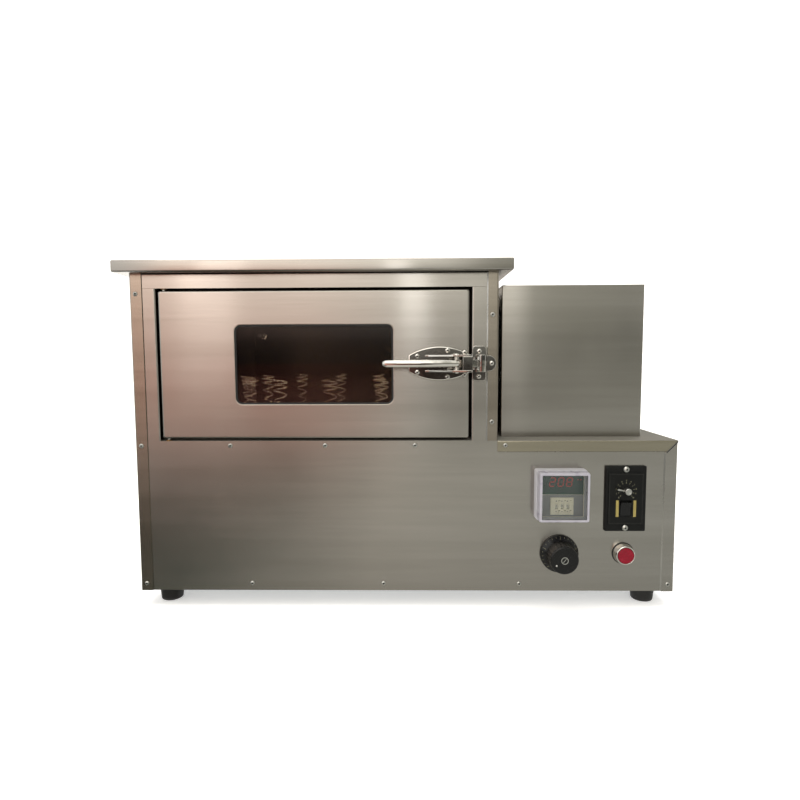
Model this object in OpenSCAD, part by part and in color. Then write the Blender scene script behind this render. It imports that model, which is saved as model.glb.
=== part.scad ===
// Electric bench oven with a turntable of wire cone holders: a folded stainless
// base cabinet, an oven body with a glazed door on its left half, and a fan box
// on the right of the deck. The drawing frame has X = 0 at the cabinet's left
// edge, Y = 0 at the outer face of the corner flanges with +Y running back, and
// Z = 0 at the cabinet's bottom edge. place() then puts the origin on the floor,
// under the centre of the whole part.

/* [Cabinet] */
// Width of the base cabinet
body_w = 780; // [740:1:860]
// Depth of the base cabinet and oven body
body_d = 475; // [470:1:560]
// Height of the deck above the cabinet's bottom edge
deck_z = 222; // [216:1:240]
// Thickness of the outer stainless sheet
sheet_t = 1.5; // [1.2:0.1:1.8]
// Outer radius of a fold in the sheet
bend_r = 2.5; // [2.2:0.1:4]
// Width of the corner flanges that lap over the front and the rear
flange_w = 17.5; // [15:0.5:19]
// Height of the rubber feet
foot_h = 24; // [15:1:40]
// Diameter of the rubber feet
foot_d = 35; // [25:1:40]
// Distance of each foot's centre from the cabinet's edges
foot_inset = 32; // [26:1:45]

/* [Oven body] */
// Width of the oven body
oven_w = 523; // [516:1:530]
// Height of the oven body's top edge above the cabinet's bottom edge
oven_z = 461; // [459:1:475]
// Height of the top cover's edge
lid_h = 17; // [12:1:30]
// Overhang of the top cover at the sides
lid_side = 18.5; // [10:0.5:24]
// Overhang of the top cover at the front
lid_front = 14; // [6:0.5:20]
// Overhang of the top cover at the rear
lid_rear = 12; // [6:0.5:20]
// Depth of the door jamb
jamb_d = 42; // [41:0.5:48]
// Width of the frame to the right of the door
stile_w = 37.7; // [34:0.1:42]
// Distance of the door's top edge below the oven body's top edge
rail_h = 24.2; // [22:0.1:28]

/* [Door] */
// Left edge of the door
door_x0 = 39.6; // [38:0.2:42]
// Gap between the deck and the door's bottom edge
sill_gap = 3.6; // [3:0.1:5]
// Gap between the door's edges and the frame
door_gap = 3.4; // [3:0.1:4.5]
// Depth of the door's folded edge
door_edge = 28; // [26:0.5:29]
// Distance of the hinge axis from the door's left edge
hinge_edge = 7; // [6:0.1:7.5]
// Distance of the hinge axis behind the door's face
hinge_face = 6; // [5.5:0.1:6.5]

/* [Window] */
// Width of the window
window_w = 226.2; // [200:0.2:235]
// Height of the window above the door's bottom edge
window_up = 49.2; // [45:0.2:55]
// Height of the window
window_h = 113.5; // [90:0.5:118]
// Corner radius of the window
window_r = 9.5; // [4:0.5:20]
// Thickness of each glass pane
glass_t = 4; // [3:0.5:5]

/* [Chamber] */
// Distance of the chamber's walls inside the door's edges
mouth_in = 14.4; // [14:0.1:18]
// Thickness of the wool behind the chamber
wool_rear = 32.6; // [20:0.2:50]
// Depth of the chamber floor below the deck
floor_drop = 14; // [10:0.5:18]
// Depth of the chamber ceiling below the oven body's top edge
ceiling_drop = 31; // [28:0.5:36]
// Thickness of the liner sheet
liner_t = 1.2; // [0.8:0.1:1.5]

/* [Turntable] */
// Number of wire cone holders
holder_count = 12; // [6:1:14]
// Distance of the ring of holders inside the plate's edge
ring_in = 21; // [18:0.5:40]
// Angle of the first holder from the right-hand side in degrees
ring_phase = 4; // [0:0.5:30]
// Gap between the turntable plate and the nearest chamber walls
plate_gap = 13.5; // [8:0.5:20]
// Thickness of the turntable plate
plate_t = 2.5; // [2:0.5:3]
// Height of the plate's underside above the chamber floor
plate_up = 28; // [27:0.5:34]
// Radius of a holder's wire
wire_r = 1.5; // [1.2:0.1:1.8]
// Mean radius of a holder's coil at its top
coil_top_r = 12; // [10:0.5:14]
// Mean radius of a holder's coil at the plate
coil_low_r = 6; // [5.5:0.5:8]
// Height of a holder above the plate
coil_h = 70; // [60:1:90]
// Open turns of a holder, below its close turns
open_turns = 4; // [3:1:5]
// Close turns at the mouth of a holder
close_turns = 3; // [2:1:4]
// Pitch of the close turns
close_pitch = 3.9; // [3.8:0.1:5]
// Diameter of the turntable shaft
shaft_d = 12; // [10:1:14]

/* [Fan] */
// Radius of the fan wheel
wheel_r = 52; // [40:1:54]
// Width of the fan wheel
wheel_w = 20; // [14:1:22]
// Number of fan blades
blade_count = 16; // [8:1:20]
// Depth of the fan axis below the chamber ceiling
fan_drop = 80; // [76:1:110]
// Radius of the fan well in the chamber wall
well_r = 60; // [58:1:64]
// Depth of the fan well
well_d = 38; // [34:1:42]
// Diameter of the fan shaft
fan_shaft_d = 8; // [6:0.5:10]

/* [Fan box] */
// Gap between the oven body and the box
box_gap = 11; // [9:0.5:17]
// Distance of the box from the cabinet's right edge
box_right = 37.3; // [30:0.1:55]
// Height of the box above the deck
box_h = 225; // [200:1:232]
// Setback of the box from the front flanges
box_y0 = 39.5; // [30:0.5:60]
// Distance of the box from the cabinet's rear edge
box_rear = 25.5; // [20:0.5:50]

/* [Latch] */
// Height of the latch's centre line above the door's bottom edge
latch_up = 106.9; // [100:0.1:112]
// Distance of the lever pivot from the door's right edge
pivot_in = 19.9; // [19:0.1:21]
// Distance of the lever pivot in front of the corner flanges
pivot_out = 19; // [18.5:0.1:19.5]
// Length of the lever from pivot to free end
lever_l = 103; // [80:1:110]
// Thickness of the lever across its width
lever_t = 10; // [8:0.5:11]
// Diameter of the lever pin
pin_d = 5; // [4:0.5:6]
// Gap between the lever's tongue and the strike
tongue_gap = 0.4; // [0.3:0.1:1]

/* [Temperature controller] */
// Distance of the controller's centre from the cabinet's right edge
ctrl_in = 167.7; // [155:0.1:175]
// Centre of the controller above the cabinet's bottom edge
ctrl_z = 145.6; // [140:0.1:150]
// Side of the square bezel
bezel_s = 72; // [70:0.5:74]
// Height of the bezel in front of the panel
bezel_h = 14; // [12:0.5:16]
// Depth of the clear cover in front of the bezel
cover_d = 16; // [12:0.5:17]
// Pitch of the three thumbwheels
digit_pitch = 7.75; // [7.4:0.05:8.2]
// Radius of a thumbwheel
digit_r = 7; // [6:0.1:7.5]
// Side of a stepping push piece
pusher_s = 2.6; // [2:0.1:2.8]
// Travel of a stepping push piece
pusher_travel = 1.2; // [0.8:0.1:1.5]

/* [Speed control] */
// Distance of the speed control's centre from the cabinet's right edge
speed_in = 73.6; // [68:0.1:82]
// Centre of the speed control above the cabinet's bottom edge
speed_z = 137.8; // [132:0.1:142]
// Width of the speed control's plate
speed_w = 58; // [54:0.5:60]
// Height of the speed control's plate
speed_h = 95; // [90:0.5:100]
// Height of the dial axis above the plate's centre
dial_up = 12.2; // [10:0.1:14]
// Depth of the rocker's centre below the plate's centre
rocker_down = 13.8; // [12:0.1:15]

/* [Thermostat and button] */
// Distance of the thermostat knob's centre from the cabinet's right edge
knob_in = 166.4; // [155:0.1:175]
// Centre of the thermostat knob above the cabinet's bottom edge
knob_z = 56.3; // [45:0.1:60]
// Radius of the knob's skirt
skirt_r = 27.5; // [24:0.5:30]
// Radius of the knob's grip
grip_r = 20; // [16:0.5:22]
// Height of the knob in front of the panel
knob_h = 31; // [30.5:0.5:36]
// Distance of the push button's centre from the cabinet's right edge
button_in = 74; // [68:0.1:82]
// Radius of the button's bezel
button_r = 14.8; // [13:0.1:16]
// Radius of the button's cap
cap_r = 11.3; // [9:0.1:12]
// Travel of the button's cap
cap_travel = 3.5; // [2:0.5:4]

/* [Fits] */
// Radial running clearance of a pin or shaft in its bore
run_fit = 0.05; // [0.02:0.01:0.1]
// Clearance between pieces that move past each other
slip = 0.3; // [0.3:0.05:0.5]
// Radius of the hole in the cable gland
gland_bore_r = 6; // [4:0.5:7]
// Reach of the cable gland behind the rear panel
gland_reach = 20; // [16:1:26]

/* [Hidden] */
$fn = 64;
eps = 0.01;

// Places in the cabinet
panel_y = sheet_t;                       // face of the front panels, behind the lapping flanges
back_y = body_d - 2 * sheet_t;           // inner face of the rear panels
frame_x1 = oven_w - sheet_t;             // inner face of the oven's right wall
rail_z1 = oven_z - sheet_t;
lid_lip = lid_side + 3;                  // return flange under the top cover
corner_gap = 0.4;                        // between the folded flanges at a mitre
gland_x = body_w - 90;
gland_z = 50;
gland_r = 10;
vent_h = 50;                             // slots of the base's rear panel
vent_pitch = 16;
vent_count = 14;
vent_x = [120, body_w - 350];            // left ends of the two rows of slots

// Places of the door in its frame
door_w = oven_w - stile_w - door_gap - door_x0;
door_z0 = deck_z + sill_gap;
door_h = oven_z - rail_h - door_z0;
door_x1 = door_x0 + door_w;
door_z1 = door_z0 + door_h;
jamb_x0 = door_x0 - door_gap;            // frame opening
jamb_x1 = door_x1 + door_gap;
jamb_z1 = door_z1 + door_gap;
window_x0 = door_x0 + (door_w - window_w) / 2;
window_z0 = door_z0 + window_up;

// Places in the oven
chamber_w = door_w - 2 * mouth_in;
chamber_x0 = door_x0 + mouth_in;
chamber_x1 = chamber_x0 + chamber_w;
chamber_y0 = jamb_d + liner_t;
chamber_y1 = back_y - wool_rear - liner_t;
chamber_z0 = deck_z - floor_drop;
chamber_z1 = oven_z - ceiling_drop;
liner_x0 = chamber_x0 - liner_t;
liner_x1 = chamber_x1 + liner_t;
liner_y1 = chamber_y1 + liner_t;
mouth_z0 = door_z0 + 14;                 // chamber mouth inside the door seal
mouth_z1 = chamber_z1 - 6;
tray_h = 27;                             // height of the floor insulation's tray
tray_z0 = chamber_z0 - liner_t - tray_h;
probe_r = 3;
probe_x = chamber_x0 + 22;
probe_z = chamber_z1 - 40;

// Places of the turntable and of what surrounds it
table_x = (chamber_x0 + chamber_x1) / 2;
table_y = (chamber_y0 + chamber_y1) / 2;
plate_r = min(chamber_w, chamber_y1 - chamber_y0) / 2 - plate_gap;
plate_z = chamber_z0 + plate_up;
ring_r = plate_r - ring_in;
bearing_r = 12;
hub_t = 7;
element_r = 4;
element_bend = plate_r - 44;             // radius of an element's bend
element_ys = [table_y - element_bend, table_y + element_bend];
element_zs = [chamber_z0 + 20.5, chamber_z1 - 14];
element_reach = 26;                      // of an element's ends beyond the chamber wall

// Places of the fan and its box
fan_z = chamber_z1 - fan_drop;
well_x1 = chamber_x1 + well_d;
box_x0 = oven_w + box_gap;
box_w = body_w - box_right - box_x0;
box_d = body_d - box_rear - box_y0;

// Places in the door
skin_y1 = panel_y + sheet_t;             // inner face of the door's front skin
hem_y = panel_y + door_edge;             // rear of the door's folded edge
pan_in = 5;                              // step from the skin's edge to the inner pan's wall
pan_y = hem_y + 3.5;                     // inner face of the door's inner pan
pane_lap = 12;                           // of a glass pane beyond the window's edge
seal_w = 6;
hinge_x = door_x0 + hinge_edge;
hinge_y = panel_y + hinge_face;
hinge_r = 2.5;
hinge_block = [hinge_edge + 8, 14.7, 20];
bush_r = 4;

// Places in the latch
latch_z = door_z0 + latch_up;
pivot_x = door_x1 - pivot_in;
base_y = panel_y - 2.5;                  // face of the latch's base plate
cheek_gap = 19;
cheek_t = 2.5;
house_x0 = pivot_x - 43;
house_x1 = pivot_x + 21.5;
roof_y = -pivot_out - 6.3;
roof_t = 2.2;
latch_x0 = pivot_x - 66.5;
latch_x1 = pivot_x + 20;
tongue_room = 8;                         // half height of the cut-outs round the tongue
strike_x0 = jamb_x1 + 0.7;
barrel_r = 7;
barrel_h = 24;
barrel_x = strike_x0 + 5 + barrel_r;
barrel_y = -6.5;
tongue_x = barrel_x - barrel_r - tongue_gap;
screw_r = 3.3;
screw_h = 2;

// Places in the controller
ctrl_x = body_w - ctrl_in;
ctrl_y = panel_y - bezel_h;              // front of the controller's bezel
case_s = bezel_s - 5;
case_d = 74;
face_in = 2;                             // depth of the controller's face behind its bezel
face_s = bezel_s - 10;
cover_bead = 2;
cavity_y1 = ctrl_y + 24;
block_w = 31;
block_h = 23.4;
block_x = ctrl_x + 0.9;
block_z = ctrl_z - 15.8;
block_wall = 1.5;
block_y = ctrl_y + face_in - block_wall; // front of the thumbwheel block
wall_y = block_y + block_wall;           // inner face of its window wall
wheel_gap = 0.4;                         // between a thumbwheel's rim and its window wall
wheel_y = wall_y + wheel_gap + digit_r;
axle_r = 1.2;
pusher_shift = 3.9;
pusher_up = 7.2;

// Places in the other controls
speed_x = body_w - speed_in;
speed_plate_t = 4;
speed_body = [speed_w - 5, 88, 78];
dial_z = speed_z + dial_up;
rocker_z = speed_z - rocker_down;
rocker_open = [16.4, 23];
knob_x = body_w - knob_in;
button_x = body_w - button_in;
button_z = knob_z + 0.3;
spindle_r = 3;
button_h = 12;                           // height of the button's bezel

// The origin: on the floor, under the centre of everything that reaches furthest
shift_x = -(body_w - lid_side) / 2;
shift_y = -(panel_y - knob_h + body_d - sheet_t + gland_reach) / 2;

// ---------------------------------------------------------------- helpers

// Puts a piece drawn in the cabinet's frame into the part's frame.
module place() {
    translate([shift_x, shift_y, foot_h]) children();
}

// A block between two values on each axis.
module slab(x, y, z) {
    translate([x[0], y[0], z[0]]) cube([x[1] - x[0], y[1] - y[0], z[1] - z[0]]);
}

// A cylinder from a point along +X, and one along +Y.
module rod_x(p, r, l) {
    translate(p) rotate([0, 90, 0]) cylinder(r = r, h = l);
}

module rod_y(p, r, l) {
    translate(p) rotate([-90, 0, 0]) cylinder(r = r, h = l);
}

module rod_z(p, r, l) {
    translate(p) cylinder(r = r, h = l);
}

// A right-angle fold in sheet, its outer corner at the origin, legs along +X and +Y.
module fold_2d(leg_x, leg_y, t = sheet_t, r = bend_r) {
    difference() {
        union() {
            translate([r, 0]) square([leg_x - r, t]);
            translate([0, r]) square([t, leg_y - r]);
            intersection() {
                translate([r, r]) circle(r);
                square(r);
            }
        }
        translate([r, r]) circle(r - t);
    }
}

// A C-shaped wall seen from above: a web along Y with a flange at each end.
module channel_2d(web, flange) {
    fold_2d(flange, web / 2);
    translate([0, web]) mirror([0, 1]) fold_2d(flange, web / 2);
}

// A rectangle with round corners, its lower left corner at the origin.
module round_rect(w, h, r) {
    translate([r, 0]) square([w - 2 * r, h]);
    translate([0, r]) square([w, h - 2 * r]);
    for (x = [r, w - r], y = [r, h - r]) translate([x, y]) circle(r);
}

// Extrudes a drawing of the XZ plane back along +Y from y, by d.
module from_front(y, d) {
    translate([0, y + d, 0]) rotate([90, 0, 0]) linear_extrude(d) children();
}

// A block with round corners as seen from the front.
module front_block(x, y, z, r) {
    from_front(y[0], y[1] - y[0]) translate([x[0], z[0]]) round_rect(x[1] - x[0], z[1] - z[0], r);
}

// A domed fastener head on a face that looks along -Y, with its dark centre recess.
module dome_head(p, r = 3.2, h = 1.4) {
    translate(p) rotate([90, 0, 0]) difference() {
        rotate_extrude() intersection() {
            translate([0, h - (r * r + h * h) / (2 * h)]) circle((r * r + h * h) / (2 * h));
            square([r, h]);
        }
        translate([0, 0, h * 0.4]) cylinder(r = r * 0.34, h = h);
    }
}

// A tube bent once round the turntable's axis, with both ends through the right wall.
module element(z) {
    for (y = element_ys) rod_x([table_x, y, z], element_r, chamber_x1 + element_reach - table_x);
    translate([table_x, table_y, z]) rotate([0, 0, 90])
        rotate_extrude(angle = 180) translate([element_bend, 0]) circle(element_r, $fn = 32);
}

// A row of upright vent slots through a wall that looks along Y.
module vent_row(x0, z0, count, pitch, slot_w, slot_h, y, d) {
    for (i = [0:count - 1]) front_block([x0 + i * pitch, x0 + i * pitch + slot_w],
        [y, y + d], [z0, z0 + slot_h], slot_w / 2 - eps);
}

// ---------------------------------------------------------------- base cabinet

// Folded floor of the base, with upturned edges behind the panels.
module base_pan() {
    edge = 22;
    color("gainsboro") place() difference() {
        slab([sheet_t, body_w - sheet_t], [panel_y + sheet_t, back_y], [0, edge]);
        slab([2 * sheet_t, body_w - 2 * sheet_t], [panel_y + 2 * sheet_t, back_y - sheet_t],
            [sheet_t, edge + eps]);
    }
}

// Front of the base, with the cut-outs for the controls.
module base_front_panel() {
    color("silver") place() difference() {
        union() {
            slab([bend_r, oven_w], [panel_y, skin_y1], [0, deck_z]);
            slab([oven_w, body_w - bend_r], [panel_y, skin_y1], [0, deck_z - bend_r]);
        }
        slab([ctrl_x - case_s / 2, ctrl_x + case_s / 2], [0, 4 * sheet_t],
            [ctrl_z - case_s / 2, ctrl_z + case_s / 2]);
        slab([speed_x - speed_body[0] / 2, speed_x + speed_body[0] / 2], [0, 4 * sheet_t],
            [speed_z - speed_body[2] / 2, speed_z + speed_body[2] / 2]);
        rod_y([knob_x, 0, knob_z], 5, 4 * sheet_t);
        rod_y([button_x, 0, button_z], 11, 4 * sheet_t);
    }
}

// Left wall of base and oven in one piece, lapping over front and rear.
module left_side_panel() {
    color("silver") place() {
        linear_extrude(oven_z) channel_2d(body_d, flange_w);
    }
}

// Right wall of the base; its front flange is mitred to meet the deck's flange.
module base_right_panel() {
    color("silver") place() difference() {
        translate([body_w, 0, 0]) mirror([1, 0, 0])
            linear_extrude(deck_z) channel_2d(body_d, flange_w);
        from_front(-eps, sheet_t + 2 * eps) polygon([
            [body_w - flange_w - 5, deck_z - flange_w - 5 - corner_gap],
            [body_w - flange_w - 5, deck_z + 5], [body_w + 5, deck_z + 5 - corner_gap]]);
        slab([body_w - flange_w - 5, body_w - sheet_t], [sheet_t, body_d + 1],
            [deck_z - bend_r, deck_z + 1]);
    }
}

// Top of the base: a sheet with a well for the oven and a flange over the front panel.
module base_deck() {
    drop = 16;
    color("silver") place() difference() {
        union() {
            slab([sheet_t, body_w - sheet_t], [panel_y + sheet_t, back_y], [deck_z - sheet_t, deck_z]);
            translate([oven_w, 0, deck_z]) rotate([90, 0, 90])
                linear_extrude(body_w - oven_w) mirror([0, 1]) fold_2d(30, drop);
        }
        slab([liner_x0, liner_x1], [jamb_d - 1, liner_y1], [deck_z - 3, deck_z + 1]);
        from_front(-1, sheet_t + 1) polygon([
            [body_w + 1, deck_z + 1], [body_w + 1, deck_z - drop - 5],
            [body_w - drop - 5, deck_z - drop - 5]]);
        slab([body_w - sheet_t, body_w + 1], [sheet_t, 40], [deck_z - 3, deck_z + 1]);
        rod_z([hinge_x, hinge_y, deck_z - 5], bush_r, 10);
    }
}

// Rear of the base, with two rows of vents and the cable gland's hole.
module base_rear_panel() {
    color("silver") place() difference() {
        slab([bend_r, body_w - bend_r], [back_y, back_y + sheet_t], [0, deck_z]);
        for (x = vent_x)
            vent_row(x, gland_z + 10, vent_count, vent_pitch, 6, vent_h, back_y - 1, 4);
        rod_y([gland_x, back_y - 1, gland_z], gland_r, 4);
    }
}

// Four turned rubber feet, each with its screw recess from below.
module rubber_feet() {
    foot_r = foot_d / 2;
    color("dimgray") place()
        for (x = [foot_inset, body_w - foot_inset], y = [foot_inset, body_d - foot_inset])
            translate([x, y, -foot_h]) rotate_extrude() polygon([
                [0, 3], [5, 3], [5, 0], [foot_r - 3.5, 0], [foot_r - 2, 1.5], [foot_r, foot_h - 4],
                [foot_r, foot_h], [0, foot_h]]);
}

// ---------------------------------------------------------------- oven body

// Welded frame round the door: a top rail on two stiles, folded back as the jamb.
module oven_front_frame() {
    joint = 0.3;
    color("silver") place() {
        slab([bend_r, oven_w - bend_r], [panel_y, skin_y1], [jamb_z1, rail_z1]);
        difference() {
            slab([sheet_t, frame_x1], [skin_y1, jamb_d], [jamb_z1, jamb_z1 + sheet_t]);
            rod_z([hinge_x, hinge_y, jamb_z1 - 1], bush_r, 5);
        }
        slab([sheet_t, frame_x1], [skin_y1, 22], [rail_z1 - sheet_t, rail_z1]);
        translate([jamb_x0, panel_y, deck_z]) mirror([1, 0, 0])
            linear_extrude(jamb_z1 - joint - deck_z) fold_2d(jamb_x0 - bend_r, jamb_d - panel_y);
        translate([jamb_x1, panel_y, deck_z])
            linear_extrude(jamb_z1 - joint - deck_z) fold_2d(oven_w - bend_r - jamb_x1, jamb_d - panel_y);
    }
}

// Right wall of the oven body, standing on the deck.
module oven_right_panel() {
    color("silver") place() difference() {
        translate([oven_w, 0, deck_z]) mirror([1, 0, 0])
            linear_extrude(oven_z - deck_z) channel_2d(body_d, flange_w - 2.5);
        rod_x([frame_x1 - 1, table_y, fan_z], fan_shaft_d / 2 + 3, 4);
    }
}

// Rear wall of the oven body, between the two side walls.
module oven_rear_panel() {
    color("silver") place() difference() {
        slab([bend_r, oven_w - bend_r], [back_y, back_y + sheet_t], [deck_z, oven_z]);
        rod_y([probe_x, back_y - 1, probe_z], probe_r + 1, 4);
    }
}

// Folded top cover: a shallow tray, open side down, with a return flange all round.
module top_cover() {
    x0 = -lid_side;
    x1 = oven_w + lid_side;
    y0 = -lid_front;
    y1 = body_d + lid_rear;
    color("silver") place() difference() {
        translate([x0, y0, oven_z]) linear_extrude(lid_h) round_rect(x1 - x0, y1 - y0, bend_r);
        slab([x0 + sheet_t, x1 - sheet_t], [y0 + sheet_t, y1 - sheet_t],
            [oven_z + sheet_t, oven_z + lid_h - sheet_t]);
        slab([x0 + lid_lip, x1 - lid_lip], [y0 + lid_front + 8, y1 - lid_rear - 8],
            [oven_z - 1, oven_z + 2 * sheet_t]);
    }
}

// Baking chamber: a box of bright sheet, open at the mouth, with the fan well at its right.
module chamber_liner() {
    color("lightgray") place() difference() {
        union() {
            slab([liner_x0, liner_x1], [jamb_d, liner_y1], [chamber_z0 - liner_t, chamber_z1 + liner_t]);
            slab([jamb_x0 - 12, jamb_x1 + 12], [jamb_d, jamb_d + liner_t], [deck_z, jamb_z1 + 8]);
            rod_x([chamber_x1, table_y, fan_z], well_r + liner_t, well_d + liner_t);
        }
        slab([chamber_x0, chamber_x1], [chamber_y0, chamber_y1], [chamber_z0, chamber_z1]);
        slab([chamber_x0, chamber_x1], [jamb_d - 1, chamber_y0 + 1], [mouth_z0, mouth_z1]);
        rod_x([chamber_x1 - 1, table_y, fan_z], well_r, well_d + 1);
        rod_x([well_x1 - 1, table_y, fan_z], fan_shaft_d / 2 + 2, 10);
        rod_z([table_x, table_y, chamber_z0 - 5], bearing_r, 10);
        rod_y([probe_x, chamber_y1 - 1, probe_z], probe_r, 10);
        for (y = element_ys, z = element_zs)
            rod_x([chamber_x1 - 1, y, z], element_r, 10);
    }
}

// Mineral wool in slabs: left, right, top, rear and floor.
module chamber_insulation() {
    side_y = [jamb_d + liner_t, back_y];
    wool_z = [deck_z, rail_z1 - sheet_t];
    color("khaki") place() {
        slab([sheet_t, liner_x0], side_y, wool_z);
        difference() {
            slab([liner_x1, frame_x1], side_y, wool_z);
            rod_x([liner_x1 - 1, table_y, fan_z], well_r + liner_t, well_d + 1);
            rod_x([liner_x1 - 1, table_y, fan_z], fan_shaft_d / 2 + 3, 90);
            for (y = element_ys, z = element_zs)
                rod_x([liner_x1 - 1, y, z], element_r, 90);
        }
        slab([liner_x0, liner_x1], side_y, [chamber_z1 + liner_t, wool_z[1]]);
        difference() {
            slab([liner_x0, liner_x1], [liner_y1, back_y], [deck_z, chamber_z1 + liner_t]);
            rod_y([probe_x, liner_y1 - 1, probe_z], probe_r + 1, 90);
        }
        difference() {
            slab([liner_x0, liner_x1], [jamb_d, liner_y1], [tray_z0 + liner_t, chamber_z0 - liner_t]);
            rod_z([table_x, table_y, tray_z0], bearing_r, 60);
        }
    }
}

// Hanging tray under the chamber floor that carries the floor insulation.
module insulation_tray() {
    rim = 12;
    color("gray") place() difference() {
        union() {
            slab([liner_x0 - liner_t, liner_x1 + liner_t], [jamb_d - liner_t, liner_y1 + liner_t],
                [tray_z0, deck_z - sheet_t]);
            slab([liner_x0 - rim, liner_x1 + rim], [jamb_d - rim, liner_y1 + rim],
                [deck_z - sheet_t - liner_t, deck_z - sheet_t]);
        }
        slab([liner_x0, liner_x1], [jamb_d, liner_y1], [tray_z0 + liner_t, deck_z]);
        rod_z([table_x, table_y, tray_z0 - 1], bearing_r, 10);
    }
}

// Folded sheet box over the fan motor, open to the deck, with vents at the rear.
module fan_box() {
    x1 = box_x0 + box_w;
    y1 = box_y0 + box_d;
    reveal = 1.2;
    slots_in = 44;
    slot_pitch = 15;
    slot_h = 70;
    color("silver") place() difference() {
        translate([box_x0, box_y0, deck_z]) linear_extrude(box_h) round_rect(box_w, box_d, bend_r);
        slab([box_x0 + sheet_t, x1 - sheet_t], [box_y0 + sheet_t, y1 - sheet_t],
            [deck_z - 1, deck_z + box_h - sheet_t]);
        slab([box_x0 + bend_r, x1 - bend_r], [box_y0 - 1, box_y0 + 2 * sheet_t],
            [deck_z - 1, deck_z + reveal]);
        vent_row(box_x0 + slots_in + 4, deck_z + slot_h, floor((box_w - 2 * slots_in) / slot_pitch),
            slot_pitch, 5, slot_h, y1 - 3, 6);
        rod_x([box_x0 - 1, table_y, fan_z], fan_shaft_d / 2 + 3, 5);
    }
}

// Two tubular elements, one under the ceiling and one over the floor.
module heating_elements() {
    color("dimgray") place() for (z = element_zs) element(z);
}

// Sheathed temperature probe with its hexagonal fitting on the rear wall.
module temperature_probe() {
    reach = 46;
    nut_r = 7;
    nut_h = 5;
    color("lightslategray") place() {
        rod_y([probe_x, chamber_y1 - reach, probe_z], probe_r, body_d - chamber_y1 + reach);
        translate([probe_x, chamber_y1, probe_z]) rotate([90, 0, 0])
            cylinder(r = nut_r, h = nut_h, $fn = 6);
        translate([probe_x, body_d - sheet_t, probe_z]) rotate([-90, 0, 0])
            cylinder(r = nut_r, h = nut_h, $fn = 6);
    }
}

// Pressed guard over the fan well, with a ring of slots.
module fan_guard() {
    color("silver") place() difference() {
        rod_x([chamber_x1 - liner_t, table_y, fan_z], well_r + 10, liner_t);
        for (a = [0:15:345]) translate([chamber_x1, table_y, fan_z]) rotate([a, 0, 0])
            translate([-5, 20, -2.2]) cube([10, 32, 4.4]);
        rod_x([chamber_x1 - 5, table_y, fan_z], 6, 10);
    }
}

// Fan motor: square flange on the box's left wall, finned body and end bell.
module fan_motor() {
    x0 = box_x0 + sheet_t;
    flange = 84;
    flange_t = 4;
    body_r = 36;
    body_l = 66;
    fin_t = 4;
    fin_pitch = 11;
    color("slategray") place() difference() {
        union() {
            translate([x0, table_y - flange / 2, fan_z - flange / 2]) cube([flange_t, flange, flange]);
            rod_x([x0 + flange_t, table_y, fan_z], body_r, body_l);
            for (i = [0:4])
                rod_x([x0 + 2 * flange_t + fin_t + i * fin_pitch, table_y, fan_z], body_r + 3, fin_t);
            rod_x([x0 + flange_t + body_l, table_y, fan_z], body_r - 6, 12);
        }
        rod_x([x0 - 1, table_y, fan_z], fan_shaft_d / 2 + run_fit, 32);
    }
}

// ---------------------------------------------------------------- turntable drive

// Geared motor under the tray on its bridge, which stands in the base pan.
module gear_motor() {
    top = tray_z0 - 14;
    span = 121;
    depth = 90;
    strip = 3;
    foot = 20;
    gear_s = 80;
    gear_h = 45;
    motor_r = 34;
    motor_h = 62;
    spigot_r = 16;
    xs = [table_x - span / 2, table_x + span / 2];
    ys = [table_y - depth / 2, table_y + depth / 2];
    color("slategray") place() {
        difference() {
            union() {
                slab([table_x - gear_s / 2, table_x + gear_s / 2],
                    [table_y - gear_s / 2, table_y + gear_s / 2], [top - strip - gear_h, top - strip]);
                rod_z([table_x, table_y, top - strip - gear_h - motor_h], motor_r, motor_h);
                rod_z([table_x, table_y, top - strip], spigot_r, 12);
            }
            rod_z([table_x, table_y, top - 30], shaft_d / 2 + run_fit, 60);
        }
        difference() {
            union() {
                slab(xs, ys, [top - strip, top]);
                for (x = [xs[0], xs[1] - strip]) slab([x, x + strip], ys, [sheet_t, top - strip]);
                for (x = [xs[0] + strip, xs[1] - strip - foot])
                    slab([x, x + foot], ys, [sheet_t, sheet_t + strip]);
            }
            rod_z([table_x, table_y, top - 5], spigot_r, 10);
        }
    }
}

// Flanged bearing in the chamber floor that guides the turntable shaft.
module shaft_bearing() {
    color("darkgoldenrod") place() difference() {
        union() {
            rod_z([table_x, table_y, tray_z0], bearing_r, chamber_z0 - tray_z0);
            rod_z([table_x, table_y, chamber_z0], bearing_r + 10, 5);
        }
        rod_z([table_x, table_y, tray_z0 - 1], shaft_d / 2 + run_fit, tray_h + plate_up);
    }
}

// Turntable shaft with the hub flange that the plate sits on.
module carousel_shaft() {
    color("lightsteelblue") place() {
        rod_z([table_x, table_y, tray_z0 - 40], shaft_d / 2, plate_z + plate_t + 12 - tray_z0 + 40);
        rod_z([table_x, table_y, plate_z - hub_t], 18, hub_t);
    }
}

// Turntable plate with heat holes and a spigot under each holder.
module carousel_plate() {
    heat_hole_r = 30;
    spigot_h = 8;
    color("silver") place() translate([table_x, table_y, plate_z]) {
        difference() {
            cylinder(r = plate_r, h = plate_t, $fn = 128);
            translate([0, 0, -1]) cylinder(r = shaft_d / 2, h = plate_t + 2);
            for (a = [0:60:300]) rotate([0, 0, a]) translate([ring_r * 0.53, 0, -1])
                cylinder(r = heat_hole_r, h = plate_t + 2);
        }
        for (i = [0:holder_count - 1]) rotate([0, 0, holder_angle(i)])
            translate([ring_r, 0, plate_t / 2]) cylinder(r = coil_low_r - wire_r - slip, h = spigot_h);
    }
}

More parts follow.
